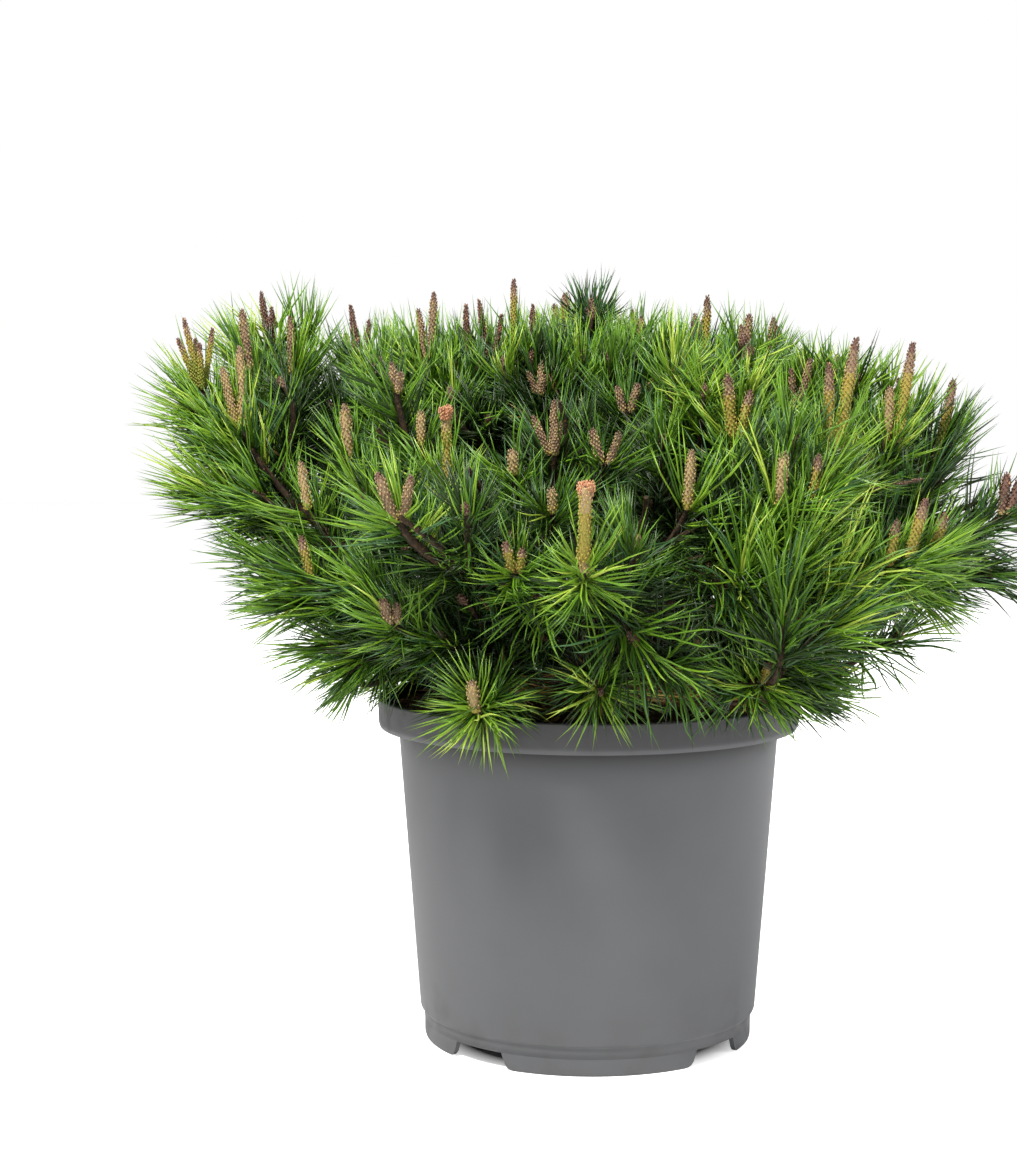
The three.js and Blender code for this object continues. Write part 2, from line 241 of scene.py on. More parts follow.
class Tree:
    """A node tree with short ways to add to it. A feed is a constant or an output socket."""

    def __init__(self, group):
        self.group = group

    def feed(self, node, feeds):
        """Feeds inputs, each known by its place or by its label with _ for a space."""
        for key, feed in feeds.items():
            socket = node.inputs[key.replace("_", " ") if isinstance(key, str) else key]
            if isinstance(feed, bpy.types.NodeSocket):
                self.group.links.new(feed, socket)
            elif feed is not None:
                socket.default_value = feed

    def add(self, kind, *first_feeds, **labels):
        """The outputs of a new node. Labels with a capital feed it, and the others are settings."""
        node = self.group.nodes.new(kind)
        for label, setting in labels.items():
            if label.islower():
                setattr(node, label, setting)
        self.feed(node, dict(enumerate(first_feeds)))
        self.feed(node, {label: feed for label, feed in labels.items() if not label.islower()})
        return node.outputs

    def math(self, operation, *terms):
        return self.add("ShaderNodeMath", *terms, operation=operation)[0]

    def use(self, group, **feeds):
        return self.add("ShaderNodeGroup", node_tree=group, **feeds)

    def noise(self, place, scale, detail):
        return self.add("ShaderNodeTexNoise", Vector=place, Scale=scale, Detail=detail)["Fac"]

    def span(self, value, low, high, start=0.0, end=1.0):
        """A value between low and high, carried over to between start and end."""
        feeds = {"From_Min": low, "From_Max": high, "To_Min": start, "To_Max": end}
        return self.add("ShaderNodeMapRange", Value=value, **feeds)["Result"]

    def mix(self, share, first, second):
        """Two colours mixed, which the Mix node takes in its last two places."""
        return self.add("ShaderNodeMix", share, *[None] * 5, first, second, data_type="RGBA")[2]

    def named(self, name, kind="FLOAT"):
        """The named value that each point carries."""
        return self.add("GeometryNodeInputNamedAttribute", Name=name, data_type=kind)[0]

    def chance(self, low, high, seed):
        """A random number for each point, from the number places of the node."""
        return self.add("FunctionNodeRandomValue", None, None, low, high, Seed=seed, data_type="FLOAT")[1]

    def aligned(self, vector, **labels):
        return self.add("FunctionNodeAlignRotationToVector", Vector=vector, **labels)[0]

    def turned(self, rotation, axis, angle):
        """A rotation turned on about an axis of its own, or just the turn."""
        turn = self.add("FunctionNodeAxisAngleToRotation", Axis=axis, Angle=angle)[0]
        if rotation is None:
            return turn
        return self.add("FunctionNodeRotateRotation", rotation, turn, rotation_space="LOCAL")[0]

    def moved(self, geometry, direction, distance):
        """The geometry with its points moved this far along their directions."""
        step = self.add("ShaderNodeVectorMath", direction, Scale=distance, operation="SCALE")[0]
        return self.add("GeometryNodeSetPosition", geometry, Offset=step)[0]

    def tube(self, curve, sides, girth):
        """A closed tube round a curve."""
        circle = self.add("GeometryNodeCurvePrimitiveCircle", Resolution=sides, Radius=1.0)[0]
        feeds = {"Profile_Curve": circle, "Scale": girth, "Fill_Caps": True}
        return self.add("GeometryNodeCurveToMesh", curve, **feeds)[0]

    def members(self, collection):
        """The objects of a collection as instances, to pick from."""
        feeds = {"Separate_Children": True, "Reset_Children": True}
        return self.add("GeometryNodeCollectionInfo", collection, **feeds)[0]

    def copies(self, points, shape, rotation, scale, **pick):
        """Solid copies of a shape on points."""
        feeds = {"Instance": shape, "Rotation": rotation, "Scale": scale, **pick}
        return self.solid(self.add("GeometryNodeInstanceOnPoints", points, **feeds)[0])

    def solid(self, geometry):
        return self.add("GeometryNodeRealizeInstances", geometry)[0]

    def dealt(self, geometry, materials):
        """Gives each face the material whose place in the list is its rounded tone."""
        for place, material in enumerate(materials):
            feeds = {"Epsilon": 0.5, "data_type": "FLOAT", "operation": "EQUAL"}
            chosen = self.add("FunctionNodeCompare", self.named("tone"), float(place), **feeds)[0]
            geometry = self.add("GeometryNodeSetMaterial", geometry, Selection=chosen, Material=material)[0]
        return geometry

    def put(self, **results):
        """Hands the results out of the group."""
        self.add("NodeGroupOutput", **results)
        return self.group


def new_tree(name, kind, inputs, outputs):
    """A node group with named sockets, and the outputs of its input node.

    An input is given by its socket type, or by a default that is a number.
    """
    group = bpy.data.node_groups.new(name, kind)
    for label, given in inputs.items():
        of_number = COUNT if isinstance(given, int) else VALUE
        socket_type = given if isinstance(given, str) else of_number
        socket = group.interface.new_socket(label, in_out="INPUT", socket_type=socket_type)
        if not isinstance(given, str):
            socket.default_value = given
    for label, socket_type in outputs.items():
        group.interface.new_socket(label, in_out="OUTPUT", socket_type=socket_type)
    tree = Tree(group)
    return tree, tree.add("NodeGroupInput")


def cloudy_group():
    """Two colours mixed by a noise, with the mask of the mix."""
    inputs = {"Vector": VECTOR, "Scale": 40.0, "Detail": 4.0, "From": 0.35, "To": 0.65}
    inputs |= {"First": COLOUR, "Second": COLOUR}
    tree, given = new_tree("cloudy_colour", SHADING, inputs, {"Color": COLOUR, "Mask": VALUE})
    mask = tree.span(tree.noise(given["Vector"], given["Scale"], given["Detail"]), given["From"], given["To"])
    return tree.put(Color=tree.mix(mask, given["First"], given["Second"]), Mask=mask)


def relief_group():
    """A height of coarse lumps with a fine grain on them."""
    inputs = {"Vector": VECTOR, "Coarse Scale": 60.0, "Fine Scale": 600.0, "Grain": 0.3}
    tree, given = new_tree("lumps_and_grain", SHADING, inputs, {"Height": VALUE})
    lumps = tree.noise(given["Vector"], given["Coarse Scale"], 3.0)
    grain = tree.math("MULTIPLY", tree.noise(given["Vector"], given["Fine Scale"], 2.0), given["Grain"])
    return tree.put(Height=tree.math("ADD", lumps, grain))


def dusting_group():
    """A patchy mask that fades out from one height to another."""
    inputs = {"Vector": VECTOR, "Full At": 0.0, "None At": 0.1, "Patch Scale": 50.0}
    tree, given = new_tree("dusting", SHADING, inputs, {"Mask": VALUE})
    height = tree.add("ShaderNodeSeparateXYZ", given["Vector"])["Z"]
    fade = tree.span(height, given["None At"], given["Full At"])
    patches = tree.span(tree.noise(given["Vector"], given["Patch Scale"], 5.0), 0.48, 0.66)
    return tree.put(Mask=tree.math("MULTIPLY", fade, patches))


CLOUDY = cloudy_group()
RELIEF = relief_group()
DUSTING = dusting_group()


# ------------------------------------------------------------------ materials

POT_GREYS = tint(82, 83, 86), tint(86, 87, 90)
# The rim grey is painted shade, the edge grey a painted highlight on the lip and the darkest grey a painted
# shadow under it; the earth colour is real dirt.
SHADED_RIM_GREY, LIP_HIGHLIGHT_GREY, LIP_SHADOW_GREY, EARTH = tint(63, 62, 66), tint(80, 80, 84), tint(17, 18, 20), tint(84, 77, 72)
EARTH_SHARE = 0.22
BLACK, WHITE = (0, 0, 0, 1), (1, 1, 1, 1)


def bare_material(name, **values):
    """A material, its tree and its Principled shader with these plain values."""
    material = bpy.data.materials.new(name)
    material.use_nodes = True
    tree, shader = Tree(material.node_tree), material.node_tree.nodes["Principled BSDF"]
    tree.feed(shader, values)
    return material, tree, shader


def add_bump(tree, shader, height, strength, distance):
    bump = tree.add("ShaderNodeBump", Strength=strength, Distance=distance, Height=height)
    tree.feed(shader, {"Normal": bump["Normal"]})


def pot_plastic():
    """Grey moulded plastic: faint cloudy marks, a fine grain and earth smears by the rim and feet, with
    painted shade on the rim, a painted highlight on the lip's lower edge and a painted shadow under the lip.
    """
    material, tree, shader = bare_material("pot_plastic", Specular_IOR_Level=0.45)
    place = tree.add("ShaderNodeTexCoord")["Object"]
    height = tree.add("ShaderNodeSeparateXYZ", place)["Z"]
    clouds = tree.use(CLOUDY, Vector=place, Scale=26.0, First=POT_GREYS[0], Second=POT_GREYS[1])
    # The rim band above the lip is painted a darker grey: painted shade from the crown above it.
    on_rim = tree.span(height, LIP_HEIGHT + 1 * MM, LIP_HEIGHT + 4 * MM, 0.0, 0.9)
    rim_shaded = tree.mix(on_rim, clouds["Color"], SHADED_RIM_GREY)
    # A thin band along the lip's lower edge is painted lighter than the shaded rim: a painted highlight.
    off_edge = tree.math("ABSOLUTE", tree.math("SUBTRACT", height, LIP_HEIGHT + 1.3 * MM))
    lip_highlighted = tree.mix(tree.span(off_edge, 1.3 * MM, 0.5 * MM, 0.0, 0.8), rim_shaded, LIP_HIGHLIGHT_GREY)
    # A dark band under the lip, darkest just below it, is a painted shadow.
    under_lip = tree.span(height, LIP_HEIGHT - 22 * MM, LIP_HEIGHT - 1 * MM)
    below = tree.math("LESS_THAN", height, LIP_HEIGHT + 0.2 * MM)
    lip_shadowed = tree.mix(tree.math("MULTIPLY", tree.math("POWER", under_lip, 2.6), below), lip_highlighted, LIP_SHADOW_GREY)
    by_rim = {"Full_At": POT_TOP, "None_At": LIP_HEIGHT - 12 * MM, "Patch_Scale": 90.0}
    by_feet = {"Full_At": 0.0, "None_At": 45 * MM, "Patch_Scale": 60.0}
    smear, splash = (tree.use(DUSTING, Vector=place, **feeds)["Mask"] for feeds in (by_rim, by_feet))
    dirty = tree.math("MULTIPLY", tree.math("MAXIMUM", smear, splash), EARTH_SHARE)
    rough = tree.math("ADD", tree.span(clouds["Mask"], 0.0, 1.0, 0.5, 0.54), dirty)
    tree.feed(shader, {"Base Color": tree.mix(dirty, lip_shadowed, EARTH), "Roughness": rough})
    grain = tree.use(RELIEF, Vector=place, Coarse_Scale=45.0, Fine_Scale=900.0, Grain=0.12)
    add_bump(tree, shader, grain["Height"], 0.16, 0.4 * MM)
    return material


def earthy(name, first, second, scale, coarse, fine, depth, speck=None):
    """A dull material of two cloudy colours with lumps, and specks of a third colour."""
    material, tree, shader = bare_material(name, Specular_IOR_Level=0.25)
    place = tree.add("ShaderNodeTexCoord")["Object"]
    clouds = tree.use(CLOUDY, Vector=place, Scale=scale, First=first, Second=second)
    colour = clouds["Color"]
    if speck:
        feeds = {"Scale": scale * 3.1, "From": 0.6, "To": 0.68, "First": BLACK, "Second": WHITE}
        colour = tree.mix(tree.use(CLOUDY, Vector=place, **feeds)["Mask"], colour, speck)
    rough = tree.span(clouds["Mask"], 0.0, 1.0, 0.78, 0.9)
    tree.feed(shader, {"Base Color": colour, "Roughness": rough})
    lumps = tree.use(RELIEF, Vector=place, Coarse_Scale=coarse, Fine_Scale=fine, Grain=0.5)
    add_bump(tree, shader, lumps["Height"], 0.7, depth)
    return material


def plain(name, colour, roughness):
    """One tone of a spray: a plain colour, because the spray deals the tones out."""
    return bare_material(name, Base_Color=colour, Roughness=roughness, Specular_IOR_Level=0.42)[0]


PLASTIC = pot_plastic()
PEAT = earthy("peat", tint(44, 31, 23), tint(84, 60, 42), 160, 190, 900, 2.5 * MM, tint(120, 84, 54))
CHIP = earthy("bark_chip", tint(96, 60, 38), tint(146, 98, 62), 210, 240, 1100, 1.0 * MM)
BARK = earthy("scaly_bark", tint(52, 43, 36), tint(86, 73, 62), 170, 260, 1200, 1.2 * MM, tint(112, 95, 78))
OLD_STRAW = tint(112, 84, 54)
TWIG_BARK = earthy("twig_bark", tint(34, 27, 21), tint(66, 50, 36), 320, 500, 1500, 0.8 * MM, OLD_STRAW)

# The deep tone is partly the darker green of old needles and partly painted shade, given to needles low on
# each shoot and to the shoots inside the crown and in its gaps.
NEEDLE_TONES = [
    plain("needle_lime", tint(168, 190, 72), 0.34),
    plain("needle_fresh", tint(124, 162, 44), 0.34),
    plain("needle_leaf", tint(98, 140, 34), 0.36),
    plain("needle_mid", tint(68, 106, 25), 0.38),
    plain("needle_deep", tint(34, 57, 15), 0.42),
    plain("needle_blue", tint(64, 102, 56), 0.38),
    plain("needle_straw", tint(160, 132, 66), 0.55),
    plain("needle_rust", tint(118, 76, 42), 0.6),
]
LIME, FRESH, LEAF, MID, DEEP, BLUE, STRAW, RUST = range(len(NEEDLE_TONES))

CANDLE_TONES = [
    plain("candle_green", tint(138, 142, 56), 0.6),
    plain("candle_gold", tint(164, 146, 68), 0.6),
    plain("candle_peach", tint(172, 148, 106), 0.65),
    plain("candle_pink", tint(144, 118, 94), 0.65),
    plain("candle_mauve", tint(114, 84, 72), 0.65),
    plain("candle_coral", tint(194, 140, 104), 0.6),
]
GREEN, GOLD, PEACH, PINK, MAUVE, CORAL = range(len(CANDLE_TONES))


# ------------------------------------------------------------------ what the trees grow


def needle_tree():
    """Instances a pair of needles on each point, along its aim, and deals out the tones."""
    inputs = {"Points": GEOMETRY, "Pairs": COLLECTION, "Needle Length": NEEDLE_LENGTH}
    inputs |= {"Needle Width": NEEDLE_WIDTH, "Seed": 3}
    tree, given = new_tree("needle_sprays", GROWTH, inputs, {"Sprays": GEOMETRY})
    aimed = tree.aligned(tree.named("aim", "FLOAT_VECTOR"), axis="Z")
    curling = tree.aligned(tree.named("bend", "FLOAT_VECTOR"), Rotation=aimed, axis="X", pivot_axis="Z")
    rolled = tree.turned(curling, Z_AXIS, tree.chance(-0.9, 0.9, given["Seed"]))
    size = tree.named("size")
    stout = tree.chance(0.85, 1.15, tree.math("ADD", given["Seed"], 1.0))
    stoutness = tree.math("MULTIPLY", tree.math("MINIMUM", tree.math("MAXIMUM", size, 0.86), 1.02), stout)
    wide = tree.math("MULTIPLY", given["Needle Width"], stoutness)
    long = tree.math("MULTIPLY", given["Needle Length"], size)
    scale = tree.add("ShaderNodeCombineXYZ", wide, wide, long)[0]
    pick = {"Pick_Instance": True, "Instance_Index": tree.math("FLOOR", tree.named("habit"))}
    sprays = tree.copies(given["Points"], tree.members(given["Pairs"]), rolled, scale, **pick)
    return tree.put(Sprays=tree.dealt(sprays, NEEDLE_TONES))


def stem_tree():
    """A round stem along each chain of points, as thick as their girth, with scaly relief."""
    inputs = {"Chains": GEOMETRY, "Sides": 8, "Ring Spacing": 3 * MM, "Relief": 0.5 * MM}
    inputs |= {"Scale Size": 4 * MM, "Bark": "NodeSocketMaterial"}
    tree, given = new_tree("stems", GROWTH, inputs, {"Stems": GEOMETRY})
    curve = tree.add("GeometryNodeMeshToCurve", given["Chains"])[0]
    rings = tree.add("GeometryNodeResampleCurve", curve, Length=given["Ring Spacing"], mode="LENGTH")[0]
    tube = tree.tube(rings, given["Sides"], tree.named("girth"))
    place = tree.add("GeometryNodeInputPosition")[0]
    normal = tree.add("GeometryNodeInputNormal")[0]
    scale = tree.math("DIVIDE", 1.0, given["Scale Size"])
    plates = tree.add("ShaderNodeTexVoronoi", Vector=place, Scale=scale, feature="DISTANCE_TO_EDGE")
    lift = tree.math("MINIMUM", tree.math("MULTIPLY", plates["Distance"], 3.0), 1.0)
    lift = tree.math("MULTIPLY", tree.math("SUBTRACT", lift, 0.5), given["Relief"])
    smooth = tree.add("GeometryNodeSetShadeSmooth", tree.moved(tube, normal, lift))[0]
    barked = tree.add("GeometryNodeSetMaterial", smooth, Material=given["Bark"])[0]
    return tree.put(Stems=tree.solid(barked))


def candle_core_tree():
    """The smooth core of each candle under its scales."""
    inputs = {"Chains": GEOMETRY, "Sides": 8, "Core Share": 0.9}
    tree, given = new_tree("candle_cores", GROWTH, inputs, {"Cores": GEOMETRY})
    curve = tree.add("GeometryNodeMeshToCurve", given["Chains"])[0]
    tube = tree.tube(curve, given["Sides"], tree.math("MULTIPLY", tree.named("girth"), given["Core Share"]))
    smooth = tree.add("GeometryNodeSetShadeSmooth", tube)[0]
    return tree.put(Cores=tree.dealt(tree.solid(smooth), CANDLE_TONES))


def scale_tree():
    """Little scales in a golden spiral up each chain of points, standing off it by its girth."""
    inputs = {"Chains": GEOMETRY, "Scale Shape": "NodeSocketObject", "Spacing": 0.24 * MM}
    inputs |= {"Scale Length": 1.7 * MM, "Scale Width": 1.3 * MM, "Lift": 0.15, "Seed": 5}
    tree, given = new_tree("candle_scales", GROWTH, inputs, {"Scales": GEOMETRY})
    seed = given["Seed"]
    curve = tree.add("GeometryNodeMeshToCurve", given["Chains"])[0]
    spots = tree.add("GeometryNodeCurveToPoints", curve, Length=given["Spacing"], mode="LENGTH")
    turn = tree.math("MULTIPLY", tree.add("GeometryNodeInputIndex")[0], GOLDEN_ANGLE)
    spun = tree.turned(tree.aligned(spots["Tangent"], axis="Z"), Z_AXIS, turn)
    side = tree.add("FunctionNodeRotateVector", X_AXIS, spun)[0]
    moved = tree.moved(spots[0], side, tree.named("girth"))
    mottle = tree.chance(-0.55, 0.55, tree.math("ADD", seed, 2.0))
    mottled = tree.math("MAXIMUM", tree.math("ADD", tree.named("tone"), mottle), 0.0)
    within = tree.math("MINIMUM", mottled, float(len(CANDLE_TONES) - 1))
    feeds = {"Name": "tone", "Value": within, "data_type": "FLOAT", "domain": "POINT"}
    toned = tree.add("GeometryNodeStoreNamedAttribute", moved, **feeds)[0]
    lean = tree.math("MULTIPLY", given["Lift"], tree.chance(0.6, 1.4, seed))
    stretch = tree.chance(0.7, 1.25, tree.math("ADD", seed, 1.0))
    size = tree.math("MULTIPLY", tree.named("size"), stretch)
    wide = tree.math("MULTIPLY", given["Scale Width"], size)
    long = tree.math("MULTIPLY", given["Scale Length"], size)
    scale = tree.add("ShaderNodeCombineXYZ", wide, wide, long)[0]
    shape = tree.add("GeometryNodeObjectInfo", given["Scale Shape"])["Geometry"]
    scales = tree.copies(toned, shape, tree.turned(spun, Y_AXIS, lean), scale)
    return tree.put(Scales=tree.dealt(scales, CANDLE_TONES))


def litter_tree():
    """Loose bits strewn over the upper side of a surface."""
    inputs = {"Ground": GEOMETRY, "Bits": COLLECTION, "Bits A Square Metre": 15000.0}
    inputs |= {"Strewn Radius": 85 * MM, "Seed": 11}
    tree, given = new_tree("litter", GROWTH, inputs, {"Litter": GEOMETRY})
    seed = given["Seed"]
    second, third, fourth = (tree.math("ADD", seed, more) for more in (1.0, 2.0, 3.0))
    upward = tree.add("ShaderNodeSeparateXYZ", tree.add("GeometryNodeInputNormal")[0])["Z"]
    place = tree.add("GeometryNodeInputPosition")[0]
    level = tree.add("ShaderNodeVectorMath", place, (1, 1, 0), operation="MULTIPLY")[0]
    radius = tree.add("ShaderNodeVectorMath", level, operation="LENGTH")["Value"]
    inland = tree.math("LESS_THAN", radius, given["Strewn Radius"])
    on_top = tree.math("MULTIPLY", tree.math("GREATER_THAN", upward, 0.5), inland)
    feeds = {"Selection": on_top, "Density": given["Bits A Square Metre"], "Seed": seed}
    spots = tree.add("GeometryNodeDistributePointsOnFaces", given["Ground"], **feeds)[0]
    turn = tree.turned(None, Z_AXIS, tree.chance(0.0, 2 * math.pi, seed))
    laid = tree.turned(turn, X_AXIS, tree.chance(-0.5, 0.5, second))
    which = tree.math("FLOOR", tree.chance(0.0, float(CHIPS + DROPPED), third))
    pick = {"Pick_Instance": True, "Instance_Index": which}
    size = tree.chance(0.6, 1.5, fourth)
    return tree.put(Litter=tree.copies(spots, tree.members(given["Bits"]), laid, size, **pick))


def baked(name, source):
    """A plain mesh object of a source object as its modifiers make it."""
    depsgraph = bpy.context.evaluated_depsgraph_get()
    mesh = bpy.data.meshes.new_from_object(source.evaluated_get(depsgraph), depsgraph=depsgraph)
    mesh.name = name
    return link(bpy.data.objects.new(name, mesh))


def grown(name, source, tree, inputs, keep_source=False):
    """The plain mesh object that a tree makes from a source object."""
    modifier = source.modifiers.new(tree.name, "NODES")
    modifier.node_group = tree
    sockets = {item.name: item.identifier for item in tree.interface.items_tree if item.in_out == "INPUT"}
    for label, value in inputs.items():
        modifier[sockets[label]] = value
    piece = baked(name, source)
    source.modifiers.remove(modifier)
    if not keep_source:
        bpy.data.objects.remove(source)
    return piece


def finish_piece(piece, replaces=()):
    """Rides the piece on the plant's one body and hides the frame's parts that it stands for."""
    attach(piece, "root")
    if replaces:
        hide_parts(*replaces)
    return piece


# ------------------------------------------------------------------ the pot


def band(low, high, around):
    """The faces between two rings of corners, which are given by their first corners."""
    turns = [(side, (side + 1) % around) for side in range(around)]
    return [[low + side, low + after, high + after, high + side] for side, after in turns]


def ends(first, last, around):
    """The two faces that close a stack of rings, from its first ring to its last."""
    return [[first + side for side in reversed(range(around))], [last + side for side in range(around)]]


def rays(count):
    """The across and up shares of evenly spread directions round a circle."""
    angles = [2 * math.pi * side / count for side in range(count)]
    return [(math.cos(angle), math.sin(angle)) for angle in angles]


def sliver(first, rings):
    """The faces of a three-sided sliver: a tip, rings of three corners each, and a tip."""
    faces = []
    last = first + 3 * rings + 1
    for side in range(3):
        after = (side + 1) % 3
        faces.append([first, first + 1 + after, first + 1 + side])
        for low in range(first + 1, last - 3, 3):
            faces.append([low + side, low + after, low + 3 + after, low + 3 + side])
        faces.append([last - 3 + side, last - 3 + after, last])
    return faces


def turned(name, profile, material):
    """A closed solid of revolution from (radius, height) pairs that start and end on the axis."""
    sides = POT_SIDES
    corners, faces, rings = [], [], []
    for radius, height in profile:
        if radius <= 0:
            rings.append([len(corners)] * sides)
            corners.append((0.0, 0.0, height))
            continue
        rings.append(list(range(len(corners), len(corners) + sides)))
        corners += [(radius * across, radius * up, height) for across, up in rays(sides)]
    for lower, upper in zip(rings, rings[1:]):
        for side in range(sides):
            after = (side + 1) % sides
            quad = [lower[side], lower[after], upper[after], upper[side]]
            faces.append(list(dict.fromkeys(quad)))
    return mesh_object(name, corners, faces, [material])


def rounded(corner, before, after, radius):
    """Points that round a corner of a profile off between its two neighbours."""
    corner, before, after = (np.array(point, float) for point in (corner, before, after))
    start = corner + unit(before - corner) * radius
    end = corner + unit(after - corner) * radius
    points = []
    for share in np.linspace(0, 1, ROUNDING_STEPS + 1):
        points.append(tuple((1 - share) ** 2 * start + 2 * share * (1 - share) * corner + share**2 * end))
    return points


def soft_profile(corners, radii):
    """A profile whose inner corners are rounded off, each by its own radius."""
    points = [corners[0]]
    for before, corner, after, radius in zip(corners, corners[1:], corners[2:], radii):
        points += rounded(corner, before, after, radius) if radius else [corner]
    return points + [corners[-1]]


def pot_body():
    """The pot from its floor to its rolled rim, with the drain holes cut out of the floor."""
    inner_top = BODY_TOP_RADIUS - WALL
    floor = FLOOR_HEIGHT + WALL
    corners = [
        (0, FLOOR_HEIGHT),
        (FOOT_RADIUS - FOOT_WALL, FLOOR_HEIGHT),
        (FOOT_RADIUS - FOOT_WALL, NOTCH_HEIGHT),
        (FOOT_RADIUS, NOTCH_HEIGHT),
        (FOOT_RADIUS + 0.4 * MM, FLOOR_HEIGHT - 1.2 * MM),
        (BODY_FOOT_RADIUS, FLOOR_HEIGHT),
        (BODY_TOP_RADIUS - 0.4 * MM, LIP_HEIGHT - 1.2 * MM),
        (BODY_TOP_RADIUS + 1.6 * MM, LIP_HEIGHT + 0.4 * MM),
        (RIM_RADIUS - 0.9 * MM, LIP_HEIGHT),
        (RIM_RADIUS - 0.2 * MM, LIP_HEIGHT + 2.2 * MM),
        (RIM_RADIUS, POT_TOP),
        (RIM_RADIUS - 2 * WALL, POT_TOP),
        (RIM_RADIUS - WALL - 0.6 * MM, LIP_HEIGHT + WALL),
        (inner_top, LIP_HEIGHT + WALL),
        (BODY_FOOT_RADIUS - WALL, floor),
        (0, floor),
    ]
    radii = [0, 0, 0, 0.8, 1.2, 0.8, 0.6, 0.5, 0.7, 1.1, 0.9, 0.6, 0.5, 2]
    radii = [radius * MM for radius in radii]
    blank = turned("pot_blank", soft_profile(corners, radii), PLASTIC)
    drill_corners, drill_faces = [], []
    for bearing in DRAIN_BEARINGS:
        centre = heading(bearing) * DRAIN_RING
        first = len(drill_corners)
        for height in (FLOOR_HEIGHT - 3 * WALL, FLOOR_HEIGHT + 4 * WALL):
            for side in range(DRILL_SIDES):
                spoke = heading(side * 360 / DRILL_SIDES) * DRAIN_RADIUS
                drill_corners.append(centre + spoke + UP * height)
        drill_faces += band(first, first + DRILL_SIDES, DRILL_SIDES)
        drill_faces += ends(first, first + DRILL_SIDES, DRILL_SIDES)
    drills = mesh_object("drills", drill_corners, drill_faces, [PLASTIC], smooth=False)
    cut = blank.modifiers.new("drain holes", "BOOLEAN")
    cut.operation = "DIFFERENCE"
    cut.object = drills
    body = baked("pot_body", blank)
    bpy.data.objects.remove(drills)
    bpy.data.objects.remove(blank)
    finish_piece(body, ["pot_shell"])


def pot_feet():
    """Four curved feet under the ring, with open notches between them and slanting ends."""
    corners, faces = [], []
    top = NOTCH_HEIGHT + 0.5 * MM
    levels = [0.5 * MM, 1.4 * MM, 3.0 * MM, 5.2 * MM, top]
    inner = [(FOOT_RADIUS - FOOT_WALL, height) for height in reversed(levels)]
    inner.append((FOOT_RADIUS - FOOT_WALL + 0.5 * MM, 0.0))
    chamfers = [0.4 * MM, 0.1 * MM, 0.0, 0.0, 0.0]
    outer = [(FOOT_RADIUS - chamfer, height) for chamfer, height in zip(chamfers, levels)]
    section = inner + [(FOOT_RADIUS - 0.9 * MM, 0.0)] + outer
    around = len(section)
    for bearing in FEET_BEARINGS:
        first = len(corners)
        for step in range(FOOT_STEPS + 1):
            for radius, height in section:
                low = max(0.0, 1 - height / FOOT_ROUNDING[1])
                slant = FOOT_SLANT * (1 - height / top) + FOOT_ROUNDING[0] * (1 - math.sqrt(1 - low**2))
                turn = (FOOT_ARC - 2 * slant) * (step / FOOT_STEPS - 0.5)
                corners.append(heading(bearing + turn) * radius + UP * height)
        for step in range(FOOT_STEPS):
            faces += band(first + step * around, first + (step + 1) * around, around)
        faces += ends(first, first + FOOT_STEPS * around, around)
    feet = mesh_object("pot_feet", corners, faces, [PLASTIC])
    feet.data.set_sharp_from_angle(angle=math.radians(SHARP_ANGLE))
    finish_piece(feet, [f"pot_foot_{i}" for i in range(1, 5)])


# ------------------------------------------------------------------ the peat and what lies on it


def soil_height(radius):
    """The smooth height of the peat at a distance from the axis."""
    distances, heights = zip(*SOIL_PROFILE)
    return np.interp(radius / MM, distances, heights) * MM


def peat():
    """The heaped peat: a lumpy top in the rim and smooth sides down inside the pot."""
    rings, sides = PEAT_RINGS, PEAT_SIDES
    edge = SOIL_PROFILE[-1][0] * MM
    corners, faces = [(0, 0, soil_height(0))], []
    for ring in range(1, rings + 1):
        radius = edge * ring / rings
        for side in range(sides):
            spoke = heading(360 * side / sides) * radius
            lump = noise.fractal(Vector((*spoke[:2], 0)) * LUMPS_A_METRE, 0.8, 2.1, 4) * LUMP_HEIGHT
            still = min(1.0, (edge - radius) / (6 * MM))
            corners.append((spoke[0], spoke[1], soil_height(radius) + lump * still - 1 * MM))
    for radius, height in (
        (edge, LIP_HEIGHT + WALL + PEAT_GAP),
        (BODY_TOP_RADIUS - WALL - PEAT_GAP, LIP_HEIGHT + WALL + PEAT_GAP),
        (BODY_FOOT_RADIUS - WALL - 2 * PEAT_GAP, FLOOR_HEIGHT + WALL + PEAT_GAP),
    ):
        corners += [heading(360 * side / sides) * radius + UP * height for side in range(sides)]
    bands = rings + 2
    for inner in range(1, 1 + bands * sides, sides):
        outer = inner + sides
        for side in range(sides):
            after = (side + 1) % sides
            faces.append([inner + side, outer + side, outer + after, inner + after])
    faces += [[0, 1 + side, 1 + (side + 1) % sides] for side in range(sides)]
    bottom = 1 + bands * sides
    faces.append([bottom + side for side in reversed(range(sides))])
    ground = mesh_object("peat", corners, faces, [PEAT])
    return finish_piece(ground, ["soil"])


def rough_chip(name, length, width, thickness, material, seed):
    """A small irregular flake."""
    local = np.random.default_rng(seed)
    corners = []
    for height in (0, thickness):
        for across, up in rays(CHIP_SIDES):
            stretch = local.uniform(0.7, 1.15)
            corners.append((length / 2 * across * stretch, width / 2 * up * stretch, height))
    faces = band(0, CHIP_SIDES, CHIP_SIDES) + ends(0, CHIP_SIDES, CHIP_SIDES)
    return mesh_object(name, corners, faces, [material], smooth=False)


